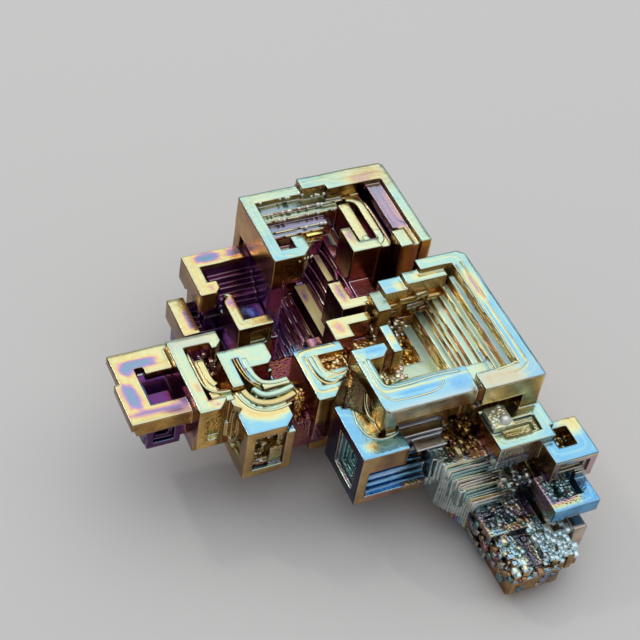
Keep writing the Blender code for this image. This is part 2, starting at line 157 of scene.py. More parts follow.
class FilmSamples:
    """The corners of a mesh: where they are on the plan grid, and which way they face."""

    def __init__(self, mesh):
        count = len(mesh.loops)
        points = np.empty(len(mesh.vertices) * 3, np.float32)
        mesh.vertices.foreach_get("co", points)
        owner = np.empty(count, np.int32)
        mesh.loops.foreach_get("vertex_index", owner)
        place = points.reshape(-1, 3)[owner] / MM + np.array(GRID, np.float32)
        self.x, self.y, self.z = place.T
        normals = np.empty(len(mesh.polygons) * 3, np.float32)
        mesh.polygons.foreach_get("normal", normals)
        corners = np.empty(len(mesh.polygons), np.int32)
        mesh.polygons.foreach_get("loop_total", corners)
        facing = np.repeat(normals.reshape(-1, 3), corners, axis=0)
        axis = np.abs(facing).argmax(axis=1)
        positive = facing[np.arange(count), axis] > 0
        self.faces = {
            TOP: (axis == 2) & positive, UNDER: (axis == 2) & ~positive,
            RIGHT: (axis == 0) & positive, LEFT: (axis == 0) & ~positive,
            BACK: (axis == 1) & positive, FRONT: (axis == 1) & ~positive,
        }
        self.film = np.full(count, COPPER, np.float32)
        # Brightness factor: painted light and shade, one where nothing is painted.
        self.shade = np.ones(count, np.float32)
        self.lines = np.zeros(count, np.float32)
        self.grit = np.zeros(count, np.float32)
        self.bare = np.zeros(count, np.float32)
        self.dull = np.zeros(count, np.float32)
        self.edge = (np.abs(facing).max(axis=1) < 0.94).astype(np.float32)
        self.steep = (axis != 2).astype(np.float32)
        self.flow = np.full(count, 9.0, np.float32)

    def turned(self, *facings):
        chosen = np.zeros(len(self.x), bool)
        for facing in facings:
            chosen |= self.faces[facing]
        return chosen

    def box_weight(self, x, y, z, feather, facings):
        weight = self.turned(*facings).astype(np.float32)
        for value, (low, high) in ((self.x, x), (self.y, y), (self.z, z)):
            reach = np.minimum(value - low, high - value) / feather + 0.5
            weight *= np.clip(reach, 0.0, 1.0)
        return weight

    def blend(self, weight, **values):
        for name, value in values.items():
            field = getattr(self, name)
            field += (value - field) * weight

    def zone(self, x, y, z, facings=ALL_ROUND, feather=0.3, **values):
        """Gives everything in a box of the plan grid a film, painted light and shade as a brightness factor, lines,
        grit, bare or dull metal.
        """
        self.blend(self.box_weight(x, y, z, feather, facings), **values)

    def patch(self, centre, radii, turn, z, feather=0.5, facings=(TOP,), strength=1.0, **values):
        """An oval patch on level faces: turn is in degrees."""
        c, s = math.cos(math.radians(turn)), math.sin(math.radians(turn))
        dx, dy = self.x - centre[0], self.y - centre[1]
        u, v = (dx * c + dy * s) / radii[0], (dy * c - dx * s) / radii[1]
        inside = np.clip((1.0 - np.sqrt(u * u + v * v)) / feather + 0.5, 0.0, 1.0)
        inside *= self.turned(*facings) * (self.z > z[0]) * (self.z < z[1])
        self.blend(inside * strength, **values)

    def measure_flow(self, rims):
        """Distance from each point of a level face to the nearest edge of its own hollow."""
        level = self.turned(TOP)
        for height in sorted({round(rim[4], 2) for rim in rims}):
            here = np.nonzero(level & (np.abs(self.z - height) < 0.15))[0]
            x, y = self.x[here], self.y[here]
            nearest = self.flow[here]
            for x1, y1, x2, y2, z in rims:
                if abs(z - height) > 0.01:
                    continue
                along = ((x - x1) * (x2 - x1) + (y - y1) * (y2 - y1)) / ((x2 - x1) ** 2 + (y2 - y1) ** 2)
                along = np.clip(along, 0.0, 1.0)
                nearest = np.minimum(nearest, np.hypot(x - x1 - along * (x2 - x1), y - y1 - along * (y2 - y1)))
            self.flow[here] = nearest

    def own(self, mesh):
        """Puts the film that a shape was given itself over what its place would give it."""
        count = len(mesh.polygons)
        corners = np.empty(count, np.int32)
        mesh.polygons.foreach_get("loop_total", corners)
        given = {}
        for name in OWN:
            values = np.empty(count, np.float32)
            mesh.attributes["own_" + name].data.foreach_get("value", values)
            given[name] = np.repeat(values, corners)
        chosen = given["film"] >= 0.0
        for name, values in given.items():
            getattr(self, name)[chosen] = values[chosen]
        self.grit[chosen] = 0.0
        self.lines[chosen] = 0.0

    def store(self, mesh):
        for name in ("film", "shade", "lines", "grit", "bare", "dull", "edge", "steep", "flow"):
            attribute = mesh.attributes.new(name, "FLOAT", "CORNER")
            attribute.data.foreach_set("value", getattr(self, name).astype(np.float32))


def paint_film(samples):
    """Oxide thickness over the specimen, with painted light: each call is one patch of colour on one crystal, and its
    brightness factor is painted shade below one and a painted highlight above one.
    """
    s = samples
    whole = ((0, 60), (0, 60), (-1, 30))
    # Each facing gets its own brightness: painted shade on the sides, darkest on the left faces. The brown films of the
    # front and left faces are partly oxide and partly a painted reflection of a brown table.
    s.zone(*whole, (TOP,), film=MINT, lines=0.2)
    s.zone(*whole, (FRONT,), film=COPPER - 0.03, shade=0.82)
    s.zone(*whole, (LEFT,), film=COPPER, shade=0.5)
    s.zone(*whole, (RIGHT,), film=COPPER - 0.05, shade=0.9)
    s.zone(*whole, (BACK,), film=GOLD, shade=0.85)
    s.zone(*whole, (UNDER,), film=COPPER + 0.02, shade=0.8)
    paint_rear_hopper(s)
    paint_basin(s)
    paint_right_hopper(s)
    paint_left_row(s)
    paint_rear_left(s)
    paint_lower_right(s)
    paint_outside(s)


def paint_outside(s):
    """The outer hollows: the film thickens from step to step towards the middle of each."""
    for step, film in enumerate((COPPER - 0.02, MAROON - 0.02, PURPLE - 0.02, NAVY, BLUE)):
        finish = {"feather": 0.1, "film": film, "shade": 1.15, "bare": 0.12}
        s.zone((47.2, 49.75 - 0.5 * step), (20, 40.4), (8, 19.4), (RIGHT,), **finish)
        s.zone((44.4, 46.35 - 0.5 * step), (42.5, 56), (6.5, 20.5), (RIGHT,), **finish)
        s.zone((35.3, 46.5), (52.8, 55.8 - 0.6 * step), (6.5, 20.5), (BACK,), **finish)
        s.zone((27.9, 35.1), (52.8, 55.75 - 0.5 * step), (6.5, 19.5), (BACK,), **finish)
        s.zone((43.6, 50.0), (38.9, 40.2 - 0.4 * step), (8.5, 19.5), (BACK,), **finish)
    s.zone((47.0, 53.0), (26.0, 31.9), (4, 10.3), ALL_ROUND, film=STRAW, shade=1.05, bare=0.2)
    s.zone((47.2, 51.5), (33.5, 37.6), (3, 8.1), ALL_ROUND, film=SKY + 0.02, shade=0.95, bare=0.2)
    s.zone((49.5, 50.2), (19.9, 40.5), (8, 20), (RIGHT,), feather=0.1, film=COPPER - 0.05, shade=1.05, bare=0.2)
    s.zone((46.3, 46.8), (42, 56.2), (5, 21), (RIGHT,), feather=0.1, film=COPPER, shade=1.0, bare=0.1)
    s.zone((35.2, 46.8), (55.9, 56.3), (5, 21), (BACK,), feather=0.1, film=GOLD + 0.02, shade=0.95, bare=0.2)


def paint_rear_hopper(s):
    inside, risers = ((28.8, 45.0), (45.8, 54.5)), (FRONT, LEFT, RIGHT, BACK)
    s.zone(*inside, (5, 19), risers, film=MAROON, shade=0.9)
    s.zone(*inside, (5, 15.4), (TOP,), film=MAROON + 0.02)
    # rim
    s.zone((27.5, 29.5), (44, 57), (19.9, 20.1), (TOP,), film=MINT - 0.04)
    s.zone((27.5, 33.0), (44, 51), (19.9, 20.1), (TOP,), feather=5.0, film=SKY + 0.005)
    s.zone((28.8, 29.6), (46, 54.6), (19.9, 20.1), (TOP,), feather=0.5, film=MINT)
    s.zone((27.5, 36.0), (54, 57), (19.9, 20.1), (TOP,), film=MINT + 0.015, shade=0.95)
    s.zone((35.0, 47.0), (53.2, 57), (20.9, 21.1), (TOP,), film=MINT - 0.015, shade=0.95)
    s.zone((41.0, 47.0), (53.2, 57), (20.9, 21.1), (TOP,), feather=3.0, film=PINK - 0.02, bare=0.35)
    s.zone((41.4, 44.0), (53.2, 54.6), (20.9, 21.1), (TOP,), feather=1.0, film=LILAC, shade=0.75, bare=0.3)
    s.zone((45.1, 47.0), (41, 53.4), (20.9, 21.1), (TOP,), feather=1.2, film=MINT - 0.025, shade=1.0, bare=0.0)
    s.zone((46.2, 47.0), (41, 56), (20.9, 21.1), (TOP,), feather=0.5, film=SKY + 0.04)
    # wide ledge beside the right rim
    s.zone((43.2, 45.7), (45.5, 55.0), (20.2, 20.4), (TOP,), film=LILAC + 0.01, shade=0.85, lines=0.6, bare=0.45)
    s.zone((43.2, 45.7), (51.0, 55.5), (20.2, 20.4), (TOP,), feather=2.5, film=SLATE, shade=0.9, bare=0.3)
    s.zone((43.8, 45.7), (42, 48.5), (20.2, 20.4), (TOP,), feather=2.5, film=LILAC - 0.02, shade=1.0, bare=0.1)
    s.zone((43.2, 44.0), (45.5, 55.0), (20.2, 20.4), (TOP,), feather=0.6, film=LILAC + 0.02, shade=0.7)
    s.zone((42.7, 44.5), (42, 45.2), (20.4, 20.6), (TOP,), feather=0.5, film=MINT + 0.03)
    s.zone((42.4, 43.4), (45.0, 54.4), (7, 20.2), risers, film=NAVY - 0.03, shade=0.6)
    # strips and small hook
    s.zone((38.9, 42.7), (43.8, 54.1), (19.1, 19.3), (TOP,), film=CREAM + 0.03)
    s.zone((38.9, 42.7), (43.0, 47.0), (19.1, 19.3), (TOP,), feather=2.0, film=MINT + 0.04)
    s.zone((37.3, 41.4), (43.5, 48.0), (19.5, 19.7), (TOP,), film=MINT + 0.05)
    s.patch((38.15, 46.5), (0.5, 1.1), 0, (19.5, 19.7), feather=0.35, film=PINK + 0.02, shade=0.9, bare=0.5)
    s.zone((38.9, 39.5), (45.0, 52.4), (11, 19.1), (LEFT,), film=MAROON - 0.02, shade=1.0)
    s.zone((38.9, 39.5), (44.0, 49.5), (8, 17.5), (LEFT,), feather=1.5, film=COPPER - 0.03, shade=1.4, grit=1.0)
    s.zone((37.0, 46.8), (42, 46), (4, 19.0), (FRONT,), film=MAROON - 0.03, shade=0.85)
    s.zone((44.0, 46.8), (41.5, 43), (8, 21.2), (FRONT,), feather=1.0, film=GOLD - 0.01, shade=1.0)
    s.zone((42.6, 44.6), (41.5, 42.5), (12, 20.6), (FRONT,), feather=1.0, film=GOLD + 0.01, shade=0.9)
    # back ledges
    s.zone((28.9, 41.0), (52.8, 54.8), (19.1, 19.3), (TOP,), feather=0.1, film=SEA - 0.03, shade=0.85, bare=0.3)
    s.zone((28.9, 32.0), (52.8, 54.8), (19.1, 19.3), (TOP,), feather=2.0, film=SLATE, shade=1.1, bare=0.3)
    s.zone((28.9, 41.0), (52.0, 53.0), (18.7, 18.9), (TOP,), feather=0.1, film=MINT + 0.02, shade=0.7, bare=0.1)
    s.zone((28.9, 41.0), (50.8, 52.2), (18.0, 18.2), (TOP,), feather=0.1, film=SLATE - 0.02, shade=0.85, bare=0.15)
    s.zone((28.9, 41.0), (51.5, 52.2), (18.0, 18.2), (TOP,), feather=0.2, film=LILAC, shade=0.6, bare=0.2)
    s.zone((28.9, 41.0), (50.3, 50.95), (17.6, 17.8), (TOP,), feather=0.1, film=NAVY + 0.03, shade=1.0, bare=0.45)
    s.zone((28.9, 41.0), (49.7, 50.5), (15.9, 16.1), (TOP,), film=COPPER - 0.02, shade=1.2, bare=0.3)
    s.zone((28.9, 41.0), (49, 55.0), (18.2, 19.9), (FRONT,), film=GOLD, shade=0.9, grit=0.5)
    s.zone((28.9, 41.0), (49, 52.0), (16.1, 18.0), (FRONT,), film=COPPER, shade=1.1, bare=0.3)
    s.patch((35.4, 50.2), (1.5, 0.8), 0, (15.5, 17.0), feather=0.4, facings=(TOP, FRONT), film=GOLD - 0.01, shade=1.7)
    # outside faces: painted shade in the hollow under the hook, and darker towards the bottom of the front face
    s.zone((27.0, 33.2), (44, 45.3), (12, 19.7), (FRONT,), film=GOLD + 0.02, shade=0.75)
    s.zone((28.8, 32.9), (44, 45.3), (16.4, 19.1), (FRONT,), feather=0.5, film=GOLD + 0.04, shade=0.38, grit=0.8)
    s.zone((27.0, 33.2), (44, 45.3), (4, 16.0), (FRONT,), feather=1.2, film=PURPLE - 0.02, shade=0.5)
    s.zone((27.0, 28.6), (44, 57), (4, 19.8), (LEFT,), film=COPPER - 0.02, shade=0.7)
    s.zone((27.0, 28.6), (50, 57), (4, 19.8), (LEFT,), feather=4.0, film=COPPER - 0.01, shade=0.75)
    s.zone((29.2, 33.0), (45, 48.2), (14, 19.7), (BACK, LEFT, RIGHT), film=MAROON + 0.02, shade=0.8)


def paint_basin(s):
    deep = ((27.5, 41.5), (38.3, 54.0))
    # The deep basin is brightened with painted light; the ribs alternate lighter and darker as painted highlight and
    # painted shade on their folds.
    s.zone(*deep, (2, 15.2), ALL_ROUND, film=MAROON + 0.02, shade=1.25)
    s.zone(*deep, (2, 15.2), (TOP,), film=MAROON + 0.03, shade=1.3, bare=0.25)
    for rib, (film, shade, bare) in enumerate((
            (COPPER + 0.02, 0.9, 0.1), (MAROON, 0.7, 0.15), (MAROON + 0.03, 1.5, 0.3), (COPPER, 0.8, 0.0),
            (MAROON + 0.02, 1.4, 0.25), (PURPLE, 0.6, 0.0), (PURPLE - 0.02, 1.5, 0.3), (COPPER + 0.01, 0.9, 0.1),
            (PURPLE, 1.3, 0.2), (NAVY, 0.7, 0.1))):
        right = 33.58 - 0.5 * rib
        s.zone((right - 0.5, right), (38.3, 52.6), (2, 9.4), ALL_ROUND, feather=0.1, film=film, shade=shade, bare=bare)
    s.zone((26.5, 31.5), (44.0, 53.0), (2, 8.0), ALL_ROUND, feather=3.0, film=NAVY - 0.04, shade=0.9, bare=0.1)
    s.patch((30.6, 42.6), (1.1, 0.7), 20, (2, 9.0), feather=0.8, facings=ALL_ROUND, film=BLUE, shade=1.1, bare=0.1)
    s.zone((38.0, 40.5), (40.5, 52.6), (2, 15.0), ALL_ROUND, feather=1.0, film=COPPER + 0.02, shade=1.2, grit=0.4)
    # The left face of the yellow blade is painted shade; the blade tops and the facet beside the strip are brightened
    # as painted light.
    s.zone((33.2, 33.6), (40, 49.5), (7.5, 9.7), (LEFT,), feather=0.1, film=COPPER, shade=0.3)
    s.zone((33.2, 35.1), (40.0, 49.5), (9.5, 10.1), (TOP,), feather=0.1, film=YELLOW - 0.02, shade=1.45, bare=0.0, dull=1.2)
    s.zone((33.2, 35.1), (47.6, 49.5), (9.5, 10.1), (TOP,), feather=1.5, film=YELLOW, shade=1.35)
    s.patch((34.0, 47.2), (0.25, 0.75), 8, (9.5, 10.1), feather=0.7, film=LILAC, shade=0.9)
    s.zone((35.8, 36.95), (45.7, 50.8), (12.9, 13.5), (TOP,), feather=0.1, film=YELLOW - 0.01, shade=1.45, bare=0.0, dull=1.2)
    s.patch((38.75, 51.1), (0.5, 1.2), -12, (14.5, 14.8), feather=0.3, film=YELLOW - 0.01, shade=1.45, bare=0.0, dull=1.2)
    s.zone((35.8, 36.95), (49.0, 50.8), (12.9, 13.5), (TOP,), feather=1.8, film=PINK, shade=0.6, bare=0.1)
    s.zone((34.2, 38.1), (38.7, 43.3), (15.7, 16.3), (TOP,), film=CREAM, shade=1.0)
    s.patch((35.1, 41.4), (0.55, 1.4), 0, (15.7, 16.3), feather=0.25, film=PINK + 0.02, shade=0.8, bare=0.35)
    s.zone((31.5, 37.1), (34.6, 37.9), (15.7, 16.3), (TOP,), film=CREAM - 0.01, shade=1.0)
    s.patch((32.7, 36.4), (0.6, 0.9), 10, (15.7, 16.3), feather=0.8, film=PINK)
    s.zone((31.5, 38.2), (34.6, 43.3), (9, 15.8), SIDES, film=MAROON - 0.01, shade=0.8)
    s.zone((33.8, 37.2), (34.5, 38.0), (8, 13.0), ALL_ROUND, film=MAROON - 0.02, shade=0.8, grit=1.0)
    s.zone((33.8, 36.2), (29.0, 36.6), (4, 12.3), ALL_ROUND, film=MAROON - 0.03, shade=0.9, grit=1.0)
    # spiral crystal
    s.zone((26.0, 32.0), (27.0, 34.7), (15.3, 16.3), (TOP,), film=SKY + 0.02, lines=0.9)
    s.patch((28.2, 31.2), (1.2, 2.6), 0, (15.3, 16.3), feather=0.7, film=MINT + 0.02)
    s.zone((27.8, 33.0), (30.0, 34.0), (8, 15.8), ALL_ROUND, film=GOLD, shade=1.1, grit=1.0, lines=0.0)
    s.zone((26.0, 29.0), (26.9, 27.6), (9, 15.8), (FRONT,), film=GOLD + 0.02, shade=0.9)


def paint_right_hopper(s):
    stair = ((37.0, 48.3), (22.0, 38.8))
    # stair: pale treads, golden risers; the treads are brightened with painted light, most of all the deep ones
    s.zone(*stair, (8, 19), (TOP,), film=MINT - 0.005, shade=1.2, dull=0.4, bare=0.08)
    s.zone((41.9, 43.5), (24.0, 38.4), (11.6, 12.0), (TOP,), feather=0.1, film=MINT - 0.01, shade=1.45, dull=1.2, grit=0.0)
    s.zone((47.0, 47.8), (22.0, 38.8), (18.0, 18.8), (TOP,), film=SKY + 0.02, shade=1.0, dull=0.4)
    s.zone((45.7, 46.5), (22.0, 28.0), (16, 17.5), (TOP,), film=SKY + 0.02, shade=1.1, dull=0.3)
    s.zone(*stair, (8, 19.8), SIDES, film=GOLD, shade=0.95, grit=0.7, dull=0.3)
    s.zone((43.0, 47.0), (22.0, 38.8), (8, 17.6), (LEFT,), film=COPPER - 0.03, shade=1.0, grit=0.9, dull=0.2)
    s.zone((41.8, 44.5), (22.0, 38.8), (9, 14), (LEFT, BACK), film=GOLD, shade=1.3, grit=1.0)
    s.zone((37.0, 47.0), (35.6, 38.6), (8, 19.2), (FRONT, LEFT, RIGHT), film=COPPER - 0.02, shade=0.65, grit=0.6, dull=0.1)
    s.zone((37.0, 47.0), (37.0, 38.6), (17.2, 19.4), (FRONT,), feather=0.8, film=GOLD, shade=0.9, bare=0.2)
    s.zone((33.3, 49.8), (22.8, 28.7), (13.8, 14.2), (TOP,), film=MINT + 0.02, shade=1.15, dull=0.3)
    s.zone((33.3, 42.6), (22.8, 26.2), (16.8, 17.2), (TOP,), film=MINT, shade=1.0)
    s.zone((33.0, 42.0), (28.0, 38.4), (5, 11.9), ALL_ROUND, film=GOLD, shade=1.1, grit=1.0)
    s.zone((34.8, 43.2), (25.8, 32.1), (11.6, 12.0), (TOP,), feather=0.1, film=MINT, shade=1.4, dull=0.8, grit=0.0)
    s.zone((32.8, 37.0), (26.0, 36.4), (11.5, 13.2), (TOP,), film=GOLD - 0.02, shade=1.2, grit=1.0)
    s.patch((34.5, 28.0), (1.2, 0.9), 20, (12.5, 13.4), feather=0.5, film=PINK - 0.02, shade=1.1)
    # rims
    s.zone((47.5, 50.3), (19.8, 40.6), (19.9, 20.1), (TOP,), film=SKY - 0.02, lines=1.0)
    s.zone((43.4, 50.3), (38.5, 40.6), (19.9, 20.1), (TOP,), film=MINT - 0.02, lines=0.3)
    s.zone((47.5, 50.3), (36.0, 40.6), (19.9, 20.1), (TOP,), feather=3.0, film=MINT, shade=0.95)
    s.patch((48.6, 34.5), (0.5, 2.4), 0, (19.9, 20.1), feather=0.8, film=PINK - 0.02, bare=0.2)
    s.zone((42.2, 50.3), (19.8, 22.6), (19.9, 20.1), (TOP,), film=SKY, lines=0.4, bare=0.25)
    s.zone((42.2, 47.4), (19.8, 22.4), (19.9, 20.1), (TOP,), feather=1.6, film=PINK - 0.02, shade=0.8, bare=0.85)
    s.zone((31.0, 42.6), (21.0, 25.1), (18.6, 18.8), (TOP,), film=SKY - 0.01, lines=0.9)
    s.zone((31.0, 35.5), (21.0, 30.9), (18.6, 18.8), (TOP,), feather=1.0, film=SKY + 0.02, lines=0.8)
    s.patch((36.0, 23.2), (2.9, 0.5), 3, (18.6, 18.8), feather=0.25, film=BLUE + 0.035, lines=0.0)
    s.patch((40.8, 22.9), (1.4, 1.0), 0, (18.6, 18.8), feather=0.5, film=SKY - 0.035, lines=0.0)
    s.zone((31.0, 42.6), (21.0, 21.95), (18.6, 18.8), (TOP,), feather=0.5, shade=1.05, bare=0.55, lines=0.0)
    s.patch((33.8, 29.9), (1.4, 0.6), 0, (18.6, 18.8), feather=0.6, film=SKY - 0.03, lines=0.0)
    s.zone((41.2, 46.9), (37.5, 39.6), (19.2, 19.4), (TOP,), film=MINT - 0.01, lines=0.2)
    s.patch((43.9, 38.4), (1.6, 0.5), 0, (19.2, 19.4), feather=0.7, film=CREAM + 0.02)
    s.zone((38.5, 41.9), (37.3, 39.8), (18.5, 18.7), (TOP,), film=SKY - 0.01)
    s.patch((41.0, 38.0), (0.7, 0.9), 30, (18.5, 18.7), feather=0.7, film=CREAM + 0.01)
    s.zone((37.1, 39.1), (35.6, 39.0), (17.7, 17.9), (TOP,), film=MINT, shade=0.9)
    s.zone((36.0, 37.5), (29.3, 33.8), (17.9, 18.1), (TOP,), film=SKY + 0.02)
    s.patch((36.7, 31.5), (0.35, 0.9), 0, (17.9, 18.1), feather=0.6, film=YELLOW + 0.01)
    s.zone((31.0, 50.3), (19.5, 21.6), (16, 20.0), (FRONT,), film=COPPER - 0.05, shade=1.2, bare=0.3)
    s.zone((31.0, 42.5), (19.5, 21.6), (17.4, 18.8), (FRONT,), feather=1.0, film=STRAW, shade=0.95, bare=0.5)
    s.zone((31.0, 31.8), (21.0, 30.0), (12, 18.6), (LEFT,), film=COPPER - 0.03, shade=0.7)
    s.zone((41.0, 44.0), (21.8, 23.3), (12, 17.6), ALL_ROUND, film=GOLD, shade=1.2)


def paint_left_row(s):
    # far left crystal
    s.zone((5.8, 13.2), (30.8, 41.4), (14.5, 14.7), (TOP,), film=YELLOW - 0.015)
    s.patch((9.5, 39.1), (2.3, 0.7), 4, (14.5, 14.7), feather=0.4, film=SLATE, shade=1.1)
    s.patch((8.1, 38.7), (0.8, 1.0), 0, (14.5, 14.7), feather=0.5, film=SLATE, shade=1.1)
    s.patch((7.3, 34.9), (0.85, 2.0), 8, (14.5, 14.7), feather=0.4, film=SLATE, shade=1.1)
    s.patch((9.6, 32.2), (3.6, 0.5), 0, (14.5, 14.7), feather=0.7, film=LILAC, shade=0.9)
    s.zone((11.0, 13.8), (30.8, 33.4), (13.0, 14.7), (TOP,), feather=1.0, film=PINK + 0.01, shade=0.8)
    s.patch((12.0, 31.9), (1.9, 0.28), 6, (14.5, 14.7), feather=0.5, film=PINK + 0.03, shade=0.4)
    s.patch((12.4, 32.7), (1.2, 0.2), 8, (14.5, 14.7), feather=0.5, film=LILAC, shade=0.5)
    # Below its top the far left crystal is painted shade, darkest on its lower block.
    s.zone((8.0, 14.2), (31.9, 40.4), (5, 13.8), ALL_ROUND, film=PURPLE, shade=0.6)
    s.patch((11.0, 34.5), (1.0, 1.0), 0, (8.0, 12.0), feather=0.6, film=SLATE, shade=1.0)
    s.zone((5.8, 13.7), (30.8, 31.4), (10, 14.4), (FRONT,), film=COPPER - 0.02, shade=0.75, grit=0.4)
    s.zone((8.0, 12.8), (31.4, 36.2), (5, 12.4), SIDES, film=PURPLE, shade=0.4)
    # tall crystal; the bright patch deep in its pit is a painted glint
    s.zone((12.9, 19.2), (29.0, 40.3), (16.0, 16.2), (TOP,), film=MINT + 0.035)
    s.zone((12.9, 17.8), (38.4, 40.3), (16.0, 16.2), (TOP,), feather=1.6, bare=0.9, shade=0.9)
    s.zone((15.0, 17.7), (30.4, 37.2), (15.3, 15.6), (TOP,), film=CREAM + 0.03)
    s.patch((14.0, 32.8), (0.36, 0.9), 12, (16.0, 16.2), feather=0.4, film=PINK + 0.01, bare=0.3)
    s.patch((14.9, 30.3), (0.4, 1.0), 40, (16.0, 16.2), feather=0.4, film=PINK + 0.01, bare=0.3)
    s.zone((12.9, 19.2), (29.0, 40.3), (9, 15.9), SIDES, film=COPPER - 0.03, shade=0.95)
    s.zone((12.9, 16.8), (29.0, 30.2), (9, 15.9), (FRONT,), film=GOLD + 0.01, shade=0.9, grit=0.5)
    s.zone((12.9, 17.2), (29.0, 30.2), (8, 12.0), (FRONT,), feather=1.5, film=GOLD - 0.01, shade=1.4, grit=0.7)
    s.zone((12.8, 13.5), (29.0, 38.0), (9, 15.8), (LEFT,), film=COPPER, shade=0.8)
    s.zone((14.6, 18.0), (36.5, 39.0), (9, 15.3), ALL_ROUND, film=PURPLE - 0.02, shade=1.1)
    s.zone((14.5, 17.9), (31.0, 36.8), (9, 15.2), ALL_ROUND, film=COPPER - 0.02, shade=0.8)
    s.patch((17.2, 37.6), (0.9, 0.9), 0, (10, 15.3), feather=0.8, facings=ALL_ROUND, film=MAROON - 0.03, shade=1.6)
    # comb crystal
    s.zone((17.7, 24.6), (29.5, 37.2), (15.0, 16.3), (TOP,), film=MINT + 0.01)
    s.zone((17.7, 24.6), (29.5, 37.2), (8, 15.0), SIDES, film=MAROON - 0.05, shade=0.9)
    s.zone((19.0, 20.1), (30.6, 35.7), (13, 15.9), ALL_ROUND, film=GOLD, shade=1.0)
    s.zone((20.9, 25.0), (30.9, 34.0), (8, 13.5), ALL_ROUND, film=MAROON + 0.02, shade=0.8)
    s.zone((20.9, 24.3), (30.4, 31.4), (15.8, 16.0), (TOP,), film=CREAM)
    s.zone((22.2, 25.7), (28.7, 30.7), (9, 15.2), ALL_ROUND, feather=0.8, film=GOLD, shade=1.1, grit=1.0)
    s.zone((19.0, 23.6), (28.5, 31.4), (12.5, 15.2), SIDES, film=COPPER + 0.01, shade=0.7)
    # front cube
    s.zone((17.0, 23.1), (25.2, 31.8), (15.2, 15.4), (TOP,), film=SKY - 0.01)
    s.patch((20.8, 29.9), (3.5, 3.1), 10, (15.2, 15.4), feather=0.2, film=YELLOW, shade=1.0)
    s.patch((21.3, 30.5), (3.2, 2.8), 10, (15.2, 15.4), feather=0.2, film=MINT, shade=1.0)
    s.zone((17.0, 23.1), (25.2, 26.2), (7.5, 15.2), (FRONT,), film=GOLD + 0.03, shade=0.85, bare=0.1)
    s.zone((18.0, 22.6), (25.9, 30.0), (7.5, 14.6), ALL_ROUND, film=STRAW + 0.02, shade=0.8, grit=0.8)
    s.zone((17.0, 17.8), (25.2, 31.8), (7.5, 15.2), (LEFT,), film=COPPER - 0.03, shade=0.6)
    s.zone((22.4, 28.6), (26.5, 38.3), (6, 12.0), ALL_ROUND, film=MAROON - 0.01, shade=0.7, grit=0.8)


def paint_rear_left(s):
    s.zone((20.0, 28.5), (47.2, 54.2), (13.9, 14.1), (TOP,), film=YELLOW - 0.01)
    s.patch((23.2, 53.1), (1.6, 0.75), 0, (13.9, 14.1), feather=0.5, film=SLATE)
    s.patch((27.0, 53.1), (1.4, 0.8), 10, (13.9, 14.1), feather=0.5, film=LILAC + 0.02)
    s.patch((21.9, 48.2), (0.3, 0.4), 0, (13.9, 14.1), feather=0.8, film=PINK)
    s.zone((21.5, 29.0), (47.6, 53.6), (5, 13.4), ALL_ROUND, film=PURPLE - 0.01, shade=0.8, bare=0.1)
    s.zone((17.4, 19.7), (44.8, 51.0), (10.4, 10.6), (TOP,), film=YELLOW - 0.01)
    s.patch((18.9, 47.3), (0.45, 1.6), 0, (10.4, 10.6), feather=0.5, film=SLATE)
    s.zone((18.0, 25.0), (43.4, 51.0), (3, 9.8), ALL_ROUND, film=PURPLE + 0.02, shade=0.7, bare=0.1)
    s.zone((22.8, 27.5), (41.6, 47.8), (12.9, 13.1), (TOP,), film=CREAM + 0.02)
    s.patch((23.6, 46.2), (0.5, 0.9), 0, (12.9, 13.1), feather=0.5, film=LILAC + 0.01)
    s.zone((23.9, 28.5), (43.2, 48.5), (4, 12.8), ALL_ROUND, film=PURPLE + 0.02, shade=0.6)
    s.patch((26.4, 46.9), (0.6, 0.9), 30, (8, 12), feather=0.6, film=BLUE, shade=1.2, bare=0.1)


